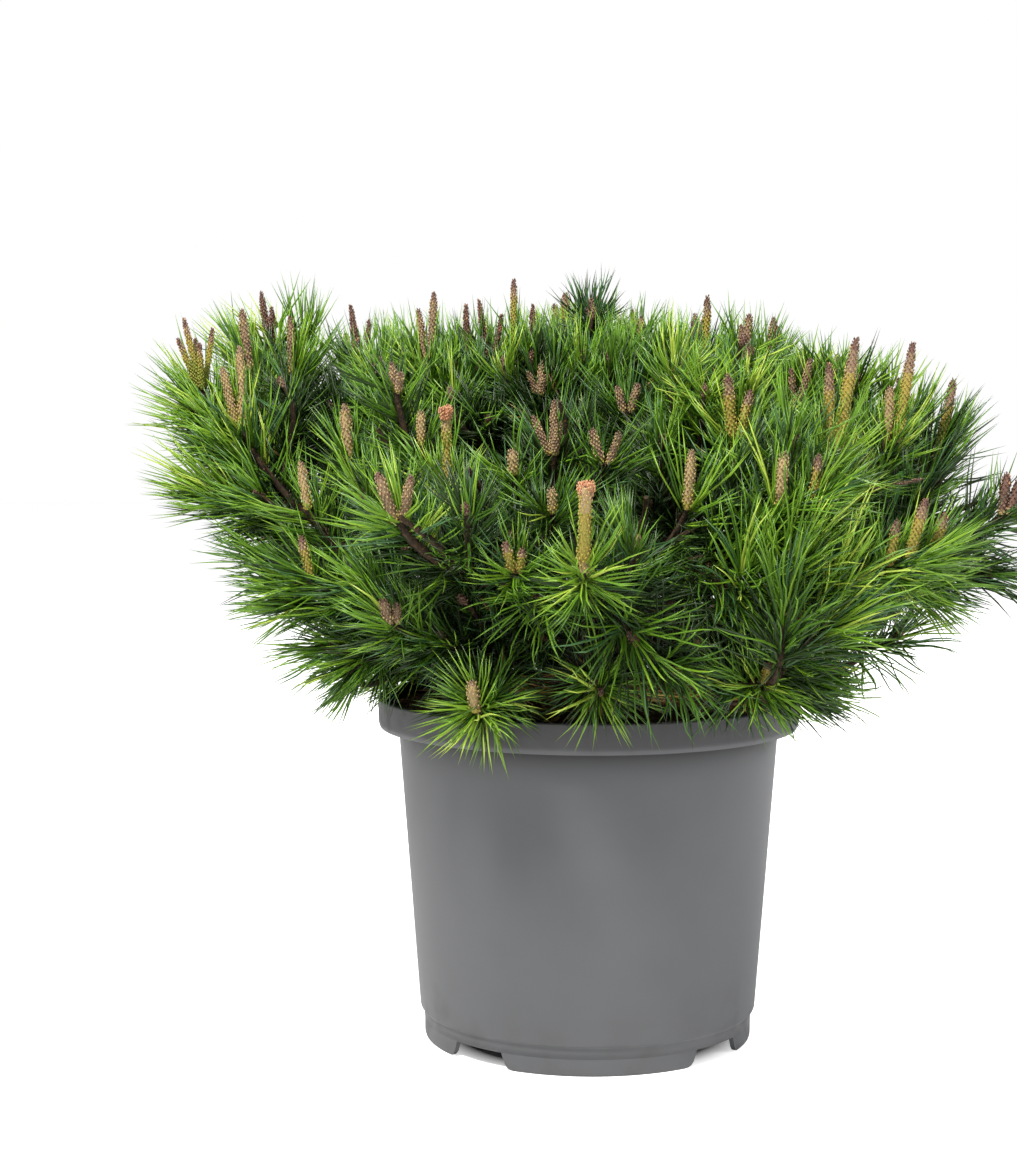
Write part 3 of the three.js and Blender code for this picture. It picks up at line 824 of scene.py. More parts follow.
def fallen_needle(name, length, bow, material):
    """A dropped needle that lies along X."""
    shares = np.array([0.0, 0.3, 0.7, 1.0])
    middles = np.stack([length * (shares - 0.5), bow * shares * (1 - shares), 0.8 * MM + 0 * shares], axis=1)
    corners = [middles[0]]
    for middle in middles[1:-1]:
        corners += [middle + np.array([0, across, up]) * DROPPED_WIDTH for across, up in rays(3)]
    corners.append(middles[-1])
    return mesh_object(name, corners, sliver(0, 2), [material])


def litter(ground):
    """Bark chips and dropped needles on the peat."""
    bits = bpy.data.collections.new("bits")
    for i in range(CHIPS):
        size = (3.0 + 0.55 * i) * MM
        width, material = size * (0.45 + 0.05 * (i % 4)), CHIP if i % 3 else PEAT
        bits.objects.link(rough_chip(f"chip_{i}", size, width, CHIP_THICKNESS, material, i))
    for i in range(DROPPED):
        tone = NEEDLE_TONES[RUST] if i % 3 else NEEDLE_TONES[STRAW]
        length = (22 + 2.3 * i) * MM
        bits.objects.link(fallen_needle(f"dropped_{i}", length, (i % 5 - 2) * 7 * MM, tone))
    strewn = grown("peat_litter", ground, litter_tree(), {"Bits": bits}, keep_source=True)
    remove_collection(bits)
    finish_piece(strewn)


# ------------------------------------------------------------------ what the frame gives


def node_mesh(name):
    """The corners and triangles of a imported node."""
    mesh = frame["nodes"][name].data
    corners = np.empty(len(mesh.vertices) * 3)
    mesh.vertices.foreach_get("co", corners)
    return corners.reshape(-1, 3), [tuple(face.vertices) for face in mesh.polygons]


Mass = namedtuple("Mass", "name tier corners surface inner middle outer")


def read_mass(name):
    """A foliage mass with its three points from the end by the trunk to the far end."""
    corners, triangles = node_mesh(name)
    distance = np.linalg.norm(corners - CROWN_FOOT, axis=1)
    order = np.argsort(distance)
    share = max(4, len(order) // 8)
    return Mass(
        name,
        name.split("_")[0],
        corners,
        BVHTree.FromPolygons([tuple(corner) for corner in corners], triangles),
        corners[order[:share]].mean(0),
        (corners.min(0) + corners.max(0)) / 2,
        corners[order[-share:]].mean(0),
    )


def limb_line(name):
    """The middle points and radii of a packed limb, from the end by the soil or trunk."""
    corners = node_mesh(name)[0]
    if name == "trunk":
        direction = UP
    else:
        far = corners[np.argmax(np.linalg.norm(corners - NECK, axis=1))]
        near = corners[np.argmin(np.linalg.norm(corners - NECK, axis=1))]
        direction = unit(far - near)
    along = corners @ direction
    low, high = along.min(), along.max()
    middles, radii = [], []
    for share in np.linspace(0, 1, LIMB_STATIONS):
        level = low + (high - low) * share
        close = corners[np.abs(along - level) < (high - low) / (2.2 * (LIMB_STATIONS - 1))]
        if len(close) < 4:
            continue
        middle = (close.min(0) + close.max(0)) / 2
        middles.append(middle)
        radii.append(np.linalg.norm(close - middle, axis=1).mean())
    return np.array(middles), np.array(radii)


def smooth_line(points):
    """A smooth curve through the points, as closely spaced points."""
    points = np.asarray(points, float)
    padded = np.vstack([2 * points[0] - points[1], points, 2 * points[-1] - points[-2]])
    line = [points[0]]
    for a, b, c, d in zip(padded, padded[1:], padded[2:], padded[3:]):
        count = max(1, int(np.linalg.norm(c - b) / LINE_STEP))
        square, cube = 2 * a - 5 * b + 4 * c - d, 3 * b - a - 3 * c + d
        for share in np.arange(1, count + 1) / count:
            line.append(0.5 * (2 * b + (c - a) * share + square * share**2 + cube * share**3))
    return np.array(line)


# ------------------------------------------------------------------ the growing rule


# What it costs a new shoot to leave against the grain, off its course, or from wood of another
# mass, as distances.
GRAIN_COST, COURSE_COST, STRANGE_COST = 30 * MM, 45 * MM, 40 * MM


class Wood:
    """Every stretch of wood so far, with the points that a new shoot can leave from."""

    def __init__(self):
        self.chains = []
        self.points = np.empty((0, 3))
        self.tangents = np.empty((0, 3))
        self.owners = []

    def add(self, line, girths, owner, visible=True):
        tangents = unit(np.gradient(line, axis=0))
        self.points = np.vstack([self.points, line])
        self.tangents = np.vstack([self.tangents, tangents])
        self.owners += [owner] * len(line)
        if visible:
            self.chains.append((line, girths))

    def best_root(self, target, liked_distance, owners=None, course=None):
        """The point to leave from: about the liked distance back, and not against the grain."""
        way = target - self.points
        distance = np.linalg.norm(way, axis=1)
        straight = (unit(way) * self.tangents).sum(1)
        cost = np.abs(distance - liked_distance) + (1 - straight) * GRAIN_COST
        if course is not None:
            cost += (1 - unit(way) @ course) * COURSE_COST
        if owners is not None:
            mine = np.array([owner in owners for owner in self.owners])
            if mine.any():
                cost = np.where(mine, cost, cost + STRANGE_COST)
        return int(np.argmin(cost))


def clear_of_pot(line, margin):
    """Lifts the points of a line that would run through the peat or the rim."""
    line = line.copy()
    for point in line:
        radius = math.hypot(point[0], point[1])
        if radius < RIM_RADIUS + margin:
            floor = max(soil_height(radius), POT_TOP if radius > HEAP_RADIUS else 0) + margin
            point[2] = max(point[2], floor)
    return line


def grow_branches(wood, masses):
    """One branch from the nearest limb into each mass."""
    for mass in sorted(masses, key=lambda mass: np.linalg.norm(mass.middle - NECK)):
        root = wood.best_root(mass.inner, BRANCH_REACH)
        start = wood.points[root]
        end = mass.middle + (mass.outer - mass.middle) * 0.15
        lead = start + wood.tangents[root] * BRANCH_LEAD
        line = smooth_line([start, lead, mass.inner * 0.5 + mass.middle * 0.5, end])
        line = clear_of_pot(line, BRANCH_MARGIN)
        wood.add(line, np.linspace(*BRANCH_GIRTHS, len(line)), mass.name)


Shoot = namedtuple("Shoot", "hub way reach needle spread tone candles mass habit bared sunk free shown")
Candles = namedtuple("Candles", "count length width splay first kind")

NO_CANDLES = Candles(1, 6, 3.4, 4, 0, "bud")
CRISP, WAVY, SHADED = "crisp", "wavy", "shaded"


def shown(place, course, needle, tone, candles=NO_CANDLES, sunk=0, reach=70, spread=(36, 66),
          habit=CRISP, bared=0, free=16):
    """A shoot with a place of its own, in millimetres, and a course: its bearing and rise.

    A sunk shoot ends that far below its place, and its candles are as much longer. The stem
    of a bared shoot is seen bare for that length. Its needles are free to stand that far out
    of the masses of the frame.
    """
    hub = (np.array(place, float) - UP * sunk) * MM
    candles = candles._replace(length=candles.length + sunk)
    way = aim(*course)
    return Shoot(hub, way, reach, needle, spread, tone, candles, None, habit, bared, sunk, free, True)


def shaded(place, course, needle=36):
    """A shoot in the deep tone that darkens a gap inside the crown as painted shade, or closes it."""
    return shown(place, course, needle, DEEP, reach=40, spread=(30, 84), habit=SHADED)


# The shoots that make the front of the plant what it is, from left to right.
SHOWN_SHOOTS = [
    # The tall plume at the left.
    shown((-206, -5, 346), (282, 56), 36, FRESH, Candles(5, 38, 2.9, 15, 250, "slim"), 0, 100),
    shown((-184, -14, 326), (288, 64), 40, FRESH, Candles(2, 42, 4.8, 5, 100, "peach"), 0, 110, (34, 80),
          bared=85),
    shown((-206, -14, 334), (275, 36), 38, FRESH, reach=90, spread=(24, 70)),
    shown((-197, -16, 313), (272, 26), 34, LEAF, reach=60, spread=(18, 60)),
    shown((-200, 30, 326), (275, 40), 36, LEAF, reach=90),
    # The crest behind the plume.
    shown((-177, 56, 380), (310, 74), 38, FRESH, Candles(3, 20, 3.2, 10, 270, "mauve"), 18),
    shown((-184, 22, 363), (290, 66), 36, FRESH, Candles(1, 26, 4.5, 3, 0, "pink"), 6, 60),
    shown((-162, 34, 361), (350, 72), 36, LEAF, Candles(1, 24, 3.6, 3, 0, "pink"), 6, 60),
    shown((-176, 50, 379), (330, 84), 32, FRESH, reach=26, spread=(18, 92), free=40),
    shown((-188, 34, 364), (286, 56), 34, FRESH, reach=40, spread=(14, 60), free=26),
    shown((-158, 60, 374), (20, 70), 36, LEAF),
    # A shoot in the deep tone in a dark gap: painted shade.
    shown((-140, 44, 334), (300, 40), 36, DEEP, reach=44, spread=(30, 84), habit=SHADED),
    # The left flank, from its single candles down to the skirt over the rim.
    shown((-122, -52, 310), (320, 66), 36, LEAF, Candles(1, 28, 5.8, 3, 0, "peach")),
    shown((-143, -56, 285), (300, 56), 36, LEAF, Candles(1, 24, 4.8, 3, 0, "peach")),
    shown((-198, -28, 292), (272, 24), 37, FRESH, reach=80, spread=(22, 58)),
    shown((-197, -27, 286), (272, 10), 32, LEAF, reach=50, spread=(12, 50)),
    shown((-168, -42, 290), (280, 34), 34, LEAF, reach=70, spread=(30, 56)),
    shown((-141, -66, 251), (300, 34), 36, LEAF, Candles(1, 21, 4.6, 3, 0, "gold")),
    shown((-154, -54, 244), (278, 8), 36, LEAF, spread=(20, 66)),
    shown((-168, -44, 258), (278, 14), 34, LEAF, reach=36, spread=(8, 50), free=30),
    shown((-150, -58, 235), (280, -10), 36, LEAF, reach=50, spread=(16, 56)),
    shown((-117, -66, 205), (288, -38), 38, LEAF, reach=22, spread=(8, 66), free=38),
    shown((-112, -60, 209), (280, -20), 36, MID, reach=30, spread=(8, 60), free=26),
    shown((-118, -64, 201), (284, -58), 33, LEAF, reach=14, spread=(6, 54), free=40),
    shown((-131, -56, 214), (280, -4), 36, LEAF, spread=(16, 56)),
    shown((-112, -96, 250), (310, 30), 36, LEAF),
    # The back of the left half, and what stands before it.
    shown((-97, -62, 344), (330, 74), 36, MID, Candles(3, 15, 3.0, 24, 270, "pink"), bared=20),
    shown((-125, 50, 372), (320, 76), 36, LEAF, Candles(2, 20, 3.0, 6, 270, "mauve"), 14),
    shown((-70, -80, 299), (345, 72), 38, FRESH, Candles(1, 37, 5.2, 1, 0, "knob")),
    shown((-84, -64, 318), (330, 74), 36, LEAF, Candles(1, 17, 4.0, 3, 0, "peach")),
    shown((-89, -150, 284), (335, 42), 40, FRESH, Candles(2, 24, 5.2, 15, 270, "pink"), 0, 80, (40, 84),
          bared=35),
    # The left half of the crest, up to its small blue fan.
    shown((-40, 10, 384), (0, 86), 34, LEAF, Candles(1, 20, 3.2, 1, 0, "slim"), 16),
    shown((-86, 10, 376), (320, 80), 34, LEAF, Candles(2, 21, 4.2, 5, 90, "pink"), 14),
    shown((-112, 20, 358), (330, 80), 32, LEAF),
    shown((-99, 34, 360), (345, 84), 32, FRESH),
    shown((-66, 20, 375), (330, 84), 34, MID, Candles(1, 16, 2.8, 3, 90, "mauve"), 14),
    shown((-53, 24, 376), (0, 84), 34, LEAF, Candles(2, 18, 2.6, 9, 270, "mauve"), 14),
    shown((-31, 25, 376), (10, 84), 34, LEAF, Candles(1, 15, 2.8, 4, 90, "mauve"), 16),
    shown((1, 45, 386), (0, 88), 25, BLUE, Candles(1, 9, 3.4, 2, 90, "mauve"), 0, 30, (26, 92), free=38),
    shown((2, 43, 385), (0, 88), 25, BLUE, reach=14, spread=(20, 96), free=38),
    shown((0, 46, 384), (270, 80), 27, BLUE, reach=14, spread=(30, 86), free=38),
    shown((2, 40, 384), (90, 80), 27, MID, reach=14, spread=(30, 86), free=38),
    shown((28, 38, 376), (60, 84), 22, MID, Candles(1, 9, 3.6, 2, 90, "pink"), 0, 16, (20, 80)),
    # The hollow heart with its brown buds.
    shown((-26, 8, 343), (350, 72), 36, MID, Candles(3, 17, 3.2, 18, 150, "pink")),
    shown((-18, -62, 313), (350, 62), 36, MID, Candles(3, 27, 3.8, 20, 150, "pink"), bared=20),
    shown((20, -22, 334), (10, 70), 36, MID, Candles(2, 15, 4.0, 14, 90, "pink")),
    shown((8, -87, 309), (0, 52), 36, MID, Candles(2, 18, 4.0, 17, 270, "pink")),
    shown((-37, -92, 304), (350, 50), 36, LEAF, Candles(1, 12, 5.0, 6, 330, "peach")),
    shown((-17, -132, 287), (350, 44), 36, MID, Candles(1, 12, 4.2, 5, 300, "peach")),
    # The middle of the front, with the drooping shoots and the shade below them.
    shown((-2, -190, 264), (5, 34), 36, FRESH, Candles(1, 40, 6.6, 1, 0, "knob"), 0, 50, (34, 86)),
    shown((-34, -150, 260), (350, 30), 34, LEAF, Candles(2, 15, 4.4, 9, 270, "gold"), 0, 50),
    shown((20, -150, 231), (22, -42), 48, LEAF, Candles(1, 9, 4.4, 10, 300, "bud"), 0, 24, (14, 58), WAVY),
    shown((40, -148, 214), (34, -40), 40, LEAF, reach=18, spread=(12, 48), habit=WAVY),
    shown((-24, -132, 246), (350, -14), 42, LEAF, reach=34, spread=(30, 76), habit=WAVY),
    shown((-60, -110, 242), (332, 24), 34, MID, reach=50),
    shown((-34, -106, 240), (345, 16), 32, DEEP, reach=50),
    shown((-22, -88, 222), (350, 8), 28, DEEP, reach=40),
    shown((4, -110, 244), (5, 14), 32, DEEP, reach=50),
    shown((46, -100, 246), (25, 28), 34, MID, reach=40, habit=WAVY),
    shown((74, -102, 240), (38, 26), 34, MID, reach=40, habit=WAVY),
    # The fans on the front of the rim, and the brush above them.
    shown((6, -130, 201), (356, -8), 34, FRESH, reach=34, spread=(34, 84)),
    shown((4, -124, 204), (350, 2), 33, MID, reach=30, spread=(30, 88)),
    shown((-54, -128, 191), (335, 10), 34, FRESH, Candles(1, 16, 6.0, 2, 0, "peach"), 0, 60, (46, 94)),
    shown((-53, -124, 194), (335, 14), 32, LEAF, reach=30, spread=(40, 90)),
    shown((-52, -118, 196), (330, 18), 32, MID, reach=30, spread=(30, 92)),
    shown((-70, -112, 224), (322, 34), 34, MID, reach=45),
    shown((-94, -124, 233), (325, 34), 36, LEAF, Candles(2, 13, 4.6, 9, 300, "red"), 0, 60),
    # The single candle right of the middle, and the right half of the crest.
    shown((47, -130, 289), (20, 52), 38, LEAF, Candles(1, 28, 4.8, 1, 0, "peach")),
    shown((63, 30, 370), (30, 82), 31, LEAF, Candles(1, 26, 3.8, 1, 0, "slim"), 10),
    shown((84, 24, 371), (40, 80), 34, LEAF, Candles(3, 15, 4.4, 9, 90, "pink"), 10),
    shown((98, 24, 371), (50, 78), 34, LEAF, Candles(1, 13, 3.8, 2, 0, "pink"), 10),
    shown((110, -2, 346), (45, 72), 36, LEAF, Candles(2, 16, 3.8, 10, 60, "pink"), 8),
    # The tall candles of the right half, and the shoulder behind them.
    shown((73, -76, 322), (30, 66), 38, FRESH, Candles(2, 31, 5.4, 9, 270, "gold")),
    shown((119, -98, 316), (40, 68), 38, FRESH, Candles(2, 55, 5.4, 5, 90, "gold")),
    shown((157, -42, 319), (60, 68), 30, FRESH, Candles(1, 51, 5.0, 11, 90, "gold")),
    shown((152, -42, 320), (40, 74), 28, LEAF, Candles(1, 27, 5.0, 4, 270, "peach"), 0, 12),
    shown((146, -30, 318), (50, 76), 32, LEAF, free=8),
    shown((184, 6, 304), (80, 58), 40, MID, Candles(1, 48, 5.2, 7, 80, "gold"), 0, 70, (22, 64)),
    shown((186, 6, 314), (82, 50), 40, MID, reach=34, spread=(6, 48), free=40),
    shown((191, 4, 316), (78, 64), 33, LEAF, reach=20, spread=(4, 50), free=40),
    shown((130, 4, 352), (50, 76), 34, MID),
    shown((118, 12, 354), (40, 80), 32, FRESH),
    shown((140, -12, 348), (55, 76), 32, LEAF),
    shown((172, 0, 328), (70, 68), 33, LEAF, reach=30, spread=(10, 60), free=30),
    shown((158, -8, 340), (50, 72), 30, FRESH, reach=30, spread=(14, 64), free=26),
    shown((142, -60, 295), (78, 12), 28, MID, Candles(1, 26, 1.0, 0, 0, "scar"), reach=8),
    # The big wavy tuft at the right.
    shown((89, -146, 290), (30, 50), 38, LEAF, Candles(1, 26, 5.4, 4, 270, "peach"), 0, 60, (30, 60), WAVY),
    shown((105, -142, 293), (40, 52), 38, LEAF, Candles(1, 22, 4.4, 3, 0, "gold"), 0, 60, (30, 60), WAVY),
    shown((92, -150, 262), (5, 80), 52, FRESH, reach=50, spread=(10, 44), habit=WAVY),
    shown((72, -146, 254), (320, 62), 50, FRESH, reach=45, spread=(10, 44), habit=WAVY),
    shown((114, -142, 254), (56, 56), 52, FRESH, reach=50, spread=(10, 44), habit=WAVY),
    shown((90, -160, 242), (350, 74), 50, LEAF, reach=40, spread=(10, 44), habit=WAVY),
    shown((112, -140, 234), (60, 36), 48, FRESH, reach=40, spread=(14, 50), habit=WAVY),
    # The right of the rim.
    shown((85, -120, 204), (35, 10), 34, FRESH, Candles(1, 12, 4.6, 8, 60, "gold"), 0, 46, (34, 88), WAVY),
    shown((84, -114, 206), (30, 14), 33, MID, reach=34, spread=(30, 88), habit=WAVY),
    shown((106, -88, 204), (58, -12), 34, MID, reach=34, spread=(14, 56)),
    shown((100, -94, 196), (48, -12), 34, DEEP, reach=30, spread=(14, 56)),
    shown((106, -86, 197), (64, -34), 34, MID, reach=20, spread=(6, 50), free=40),
    # The three low candles at the right, and the tip with its underside.
    shown((145, -109, 261), (50, 50), 36, LEAF, Candles(1, 22, 4.6, 5, 90, "gold"), 0, 50),
    shown((155, -106, 263), (60, 50), 36, FRESH, Candles(1, 31, 5.2, 16, 90, "gold"), 0, 50),
    shown((168, -97, 265), (65, 50), 36, LEAF, Candles(1, 21, 4.8, 20, 90, "gold"), 0, 50),
    shown((216, -25, 281), (85, 36), 38, MID, Candles(2, 28, 5.8, 7, 90, "mauve")),
    shown((198, -15, 271), (80, 70), 33, MID, reach=34, spread=(8, 44), free=34),
    shown((178, -44, 264), (82, 20), 36, MID, reach=55, spread=(24, 54)),
    shown((206, -30, 250), (84, -12), 34, MID, reach=48, spread=(12, 54), free=34),
    shown((148, -62, 240), (74, 14), 34, LEAF, reach=50, spread=(24, 54)),
    shown((173, -44, 241), (82, -20), 34, LEAF, reach=36, spread=(12, 54), free=30),
]


MOST_CROSSINGS, PAST_HIT, OPEN_GAP = 40, 1e-5, 12 * MM


def inside(surface, point):
    """Whether a point lies in a closed surface."""
    step = Vector((0.03, 0.02, 1.0)).normalized()
    origin, crossings = Vector(point), 0
    for _ in range(MOST_CROSSINGS):
        hit = surface.ray_cast(origin, step)[0]
        if hit is None:
            break
        crossings += 1
        origin = hit + step * PAST_HIT
    return crossings % 2 == 1


def depth_under_skin(crown, point, way):
    """How far a point of the crown is from the open air along a direction."""
    origin, travelled, leaving, depth = Vector(point), 0.0, True, 0.0
    direction = Vector(way)
    for _ in range(MOST_CROSSINGS):
        hit, _, _, distance = crown.ray_cast(origin, direction)
        if hit is None or (not leaving and distance > OPEN_GAP):
            break
        travelled += distance
        if leaving:
            depth = travelled
        leaving = not leaving
        origin = hit + direction * PAST_HIT
    return depth


def whole_crown(masses):
    """The surfaces of all the masses together."""
    corners, triangles = [], []
    for mass in masses:
        first = len(corners)
        own_corners, own_triangles = node_mesh(mass.name)
        corners += [tuple(corner) for corner in own_corners]
        triangles += [tuple(first + corner for corner in triangle) for triangle in own_triangles]
    return BVHTree.FromPolygons(corners, triangles)


def bearing_of(point):
    """The signed bearing of a point: negative to the left of the front."""
    return math.degrees(math.atan2(point[0], -point[1]))


# Places inside the crown with nothing before them, in millimetres, so that its dark inside shows.
HOLLOWS = np.array([
    (-157, -20, 322), (-162, -25, 292), (30, -80, 286), (45, -80, 281),
    (-51, -40, 328), (-88, -115, 266), (-62, -105, 238),
])


def stands_before(point, seen, clear):
    """Whether a point hides a seen point from the front, or comes closer to its line of sight."""
    sight = unit(CAMERA_PLACE - seen)
    before = (point - seen) @ sight
    return before > -CLEAR_BEHIND and np.linalg.norm(point - seen - sight * before) < clear


def hides_a_shown_shoot(point):
    """Whether a point stands close before a shown shoot's hub or bare stem, or before a hollow."""
    for shoot in SHOWN_SHOOTS:
        marks = [(0.85 if shoot.sunk else 0.4) * shoot.candles.length * MM]
        marks += [-back * MM for back in range(15, shoot.bared, 20)]
        clear = CLEAR_SUNK if shoot.sunk else CLEAR_VIEW
        if any(stands_before(point, shoot.hub + shoot.way * mark, clear) for mark in marks):
            return True
    return any(stands_before(point, hollow * MM, CLEAR_HOLLOW[0]) for hollow in HOLLOWS)


# Places in the air round the crown as seen from the front: how far across and up they are, in
# millimetres at the depth of the pot's axis, and how far the other shoots keep from them.
AIRY = (
    (165, 348, 24), (194, 291, 7), (182, 222, 14), (150, 192, 22), (-190, 266, 12), (-142, 214, 10),
    (-118, 184, 10), (-127, 172, 12), (60, 371, 11),
)


def in_the_air(point):
    """Whether a point is seen from the front at one of the airy places."""
    seen = CAMERA_PLACE + (point - CAMERA_PLACE) * CAMERA_PLACE[1] / (CAMERA_PLACE[1] - point[1])
    return any(math.hypot(seen[0] - x * MM, seen[2] - z * MM) < clear * MM for x, z, clear in AIRY)


def in_bare_front(point):
    """Whether a point is low at the front, where only the shown shoots grow."""
    low_and_near = point[1] < -BARE_DEPTH and point[2] < BARE_HEIGHT
    return abs(bearing_of(point)) < BARE_BEARING and low_and_near


def fill_hubs(masses, crown, taken, depths, spacing):
    """Places for other shoots, evenly spread at these depths under the crown's skin."""
    candidates = []
    for mass in masses:
        low, high = mass.corners.min(0), mass.corners.max(0)
        tries = int(np.prod(high - low) / (spacing / TRIES_A_SPACE) ** 3)
        for point in low + (high - low) * random.random((tries, 3)):
            if not in_bare_front(point) and not in_the_air(point) and inside(mass.surface, point):
                candidates.append((point, mass))
    hubs = []
    kept = np.array(taken)
    for place in random.permutation(len(candidates)):
        point, mass = candidates[place]
        apart = spacing * (TOP_CROWDING if mass.tier in ("top", "heart") else 1)
        if np.linalg.norm(kept - point, axis=1).min() < apart:
            continue
        depth = depth_under_skin(crown, point, unit(point - CROWN_FOOT))
        if not depths[0] < depth < depths[1] or hides_a_shown_shoot(point):
            continue
        hubs.append((point, mass))
        kept = np.vstack([kept, point])
    return hubs


def inner_shoot(hub, mass):
    """A shoot inside the crown in the deep tone, as painted shade: short and with no candle."""
    way = unit(unit(hub - CROWN_FOOT) * 0.5 + UP * 0.4 + random.normal(0, 0.3, 3))
    needle = random.uniform(28, 36)
    return Shoot(hub, way, 46, needle, (30, 80), DEEP, NO_CANDLES, mass.name, SHADED, 0, 0, 0, False)


HOLLOW_DEPTHS = (38, 70)


def behind_hollows():
    """Shoots in the deep tone behind the hollows, as painted shade, so that they show the crown's dark inside
    and no sky.
    """
    sights = [unit(CAMERA_PLACE - hollow * MM) for hollow in HOLLOWS]
    pairs = list(zip(HOLLOWS, sights))
    return [shaded(hollow - sight * depth, (0, 30)) for depth in HOLLOW_DEPTHS for hollow, sight in pairs]


# Places of more shoots in the deep tone, as painted shade, that close the gaps between the masses at the back
# and the sides.
BACK_FILLERS = [
    (-50, 130, 284), (-48, 70, 282), (-40, 20, 276), (-28, 60, 236), (-10, 150, 250), (60, 120, 250),
    (88, 70, 258), (-112, 38, 322), (64, 62, 312), (122, 18, 262), (106, 16, 226), (-112, 4, 294),
    (-84, 22, 270), (70, 20, 258), (29, 59, 276), (-134, 46, 282), (8, 19, 241),
]
# Rings of shoots in the deep tone, as painted shade, low round the pot's axis: their bearings, radius,
# height, rise and needles.
LOW_RINGS = (
    (range(100, 261, 20), 112, 210, 12, 32),
    (range(144, 221, 9), 133, 181, 24, 32),
    (range(60, 301, 40), 66, 222, 40, 34),
    (range(132, 229, 8), 121, 193, 8, 30),
)


# How high the shoots along the crest end, from the left to the right, in millimetres.
CREST = ((-116, 354), (-60, 355), (-30, 360), (40, 360), (60, 353), (100, 345), (114, 342), (134, 343))
CREST_DEPTHS = (6, 38)
CREST_SPACING = 14
CREST_HEIGHT = 340 * MM


def crest_rows():
    """Two rows of upright shoots along the crest, which close its fringe."""
    places, heights = zip(*CREST)
    shoots = []
    for depth in CREST_DEPTHS:
        for across in np.arange(places[0] + depth / 5, places[-1], CREST_SPACING):
            place = (across, depth + random.uniform(-6, 6), np.interp(across, places, heights))
            tone = int(random.choice([FRESH, LEAF, MID]))
            course = (random.uniform(0, 360), 78)
            shoots.append(shown(place, course, 31, tone, reach=34, spread=(16, 60)))
    return shoots


def low_ring(bearings, radius, height, rise, needle):
    return [shaded(heading(bearing) * radius + UP * height, (bearing, rise), needle) for bearing in bearings]


# The odds of a rule shoot's tone (fresh, leaf or mid) high and low, lighter high in the crown as painted
# light and darker low down as painted shade, of its kind of candle and their number.
HIGH_TONE_ODDS, LOW_TONE_ODDS = (0.4, 0.4, 0.2), (0.25, 0.4, 0.35)
KIND_ODDS = {"slim": 0.25, "pink": 0.25, "gold": 0.2, "mauve": 0.2, "peach": 0.1}
COUNT_ODDS = {1: 0.4, 2: 0.3, 3: 0.2, 4: 0.1}
LIFTED_HEIGHT, HIGH_HEIGHT, CANDLED_DEPTH = 250 * MM, 290 * MM, 60 * MM
WAVY_SHARE = 0.12


def rule_shoot(hub, mass):
    """A shoot of the ordinary kind: out and up, and at the back often with candles."""
    outward = unit(hub - CROWN_FOOT)
    lift = 0.75 if hub[2] > LIFTED_HEIGHT else 0.3
    way = unit(outward * 0.55 + UP * lift + random.normal(0, 0.16, 3))
    high = hub[2] > HIGH_HEIGHT
    tone = int(random.choice([FRESH, LEAF, MID], p=HIGH_TONE_ODDS if high else LOW_TONE_ODDS))
    candles = NO_CANDLES
    if hub[1] > CANDLED_DEPTH and random.random() < (0.65 if high else 0.3):
        kind = str(random.choice(list(KIND_ODDS), p=list(KIND_ODDS.values())))
        count = int(random.choice(list(COUNT_ODDS), p=list(COUNT_ODDS.values())))
        length = random.uniform(24, 44) if high else random.uniform(10, 22)
        candles = Candles(count, length, random.uniform(3.2, 5.4), 9, random.uniform(0, 360), kind)
    reach = random.uniform(*SHOOT_REACH)
    needle = random.uniform(27, 34) if mass.tier in ("top", "heart") else random.uniform(33, 41)
    spread = (random.uniform(24, 44), random.uniform(56, 74))
    habit = WAVY if random.random() < WAVY_SHARE else CRISP
    return Shoot(hub, way, reach, needle, spread, tone, candles, mass.name, habit, 0, 0, 0, False)


def nearest_mass(masses, hub):
    return min(masses, key=lambda mass: mass.surface.find_nearest(Vector(hub))[3] or 1.0)


def shoot_line(wood, shoot):
    """The stem of a shoot, from the wood behind it to its hub."""
    length = shoot.reach * MM * 0.9
    root = wood.best_root(shoot.hub - shoot.way * 15 * MM, length, {shoot.mass}, shoot.way)
    start, grain = wood.points[root], wood.tangents[root]
    span = np.linalg.norm(shoot.hub - start)
    first = start + unit(grain + unit(shoot.hub - start)) * span * 0.3
    second = shoot.hub - shoot.way * span * 0.4
    line = []
    for share in np.linspace(0, 1, max(6, int(span / LINE_STEP))):
        rest = 1 - share
        early = rest**3 * start + 3 * rest**2 * share * first
        line.append(early + 3 * rest * share**2 * second + share**3 * shoot.hub)
    return clear_of_pot(np.array(line), SHOOT_MARGIN)


# ------------------------------------------------------------------ needles

# How the two needles of a pair run, in needle widths: how far their tips lean apart and bow
# towards the shoot, how far they sway across and wave on the way. The rings say at which
# share of the length a needle has which radius.
Habit = namedtuple("Habit", "shapes lean bow sway wave rings")
WAVY_RINGS = ((0.12, 0.48), (0.34, 0.52), (0.57, 0.5), (0.79, 0.42))
HABITS = {
    CRISP: Habit(8, (1.5, 4.5), (-1.0, 9.0), 3.0, 0.6, ((0.16, 0.5), (0.6, 0.47))),
    WAVY: Habit(8, (1.5, 4.5), (-13.0, 2.0), 4.5, 0.6, WAVY_RINGS),
    SHADED: Habit(3, (2.0, 5.0), (0.0, 6.0), 4.0, 0.0, ((0.35, 0.55),)),
}


def first_shape(habit):
    """The number of a habit's first shape, when the shapes of all habits are counted through."""
    before = list(HABITS)[: list(HABITS).index(habit)]
    return sum(HABITS[name].shapes for name in before)


# How far the needles keep from the pot and from the peat, which reaches to this radius.
POT_MARGIN, PEAT_MARGIN, PEAT_RADIUS = 1.5 * MM, 2 * MM, 105 * MM
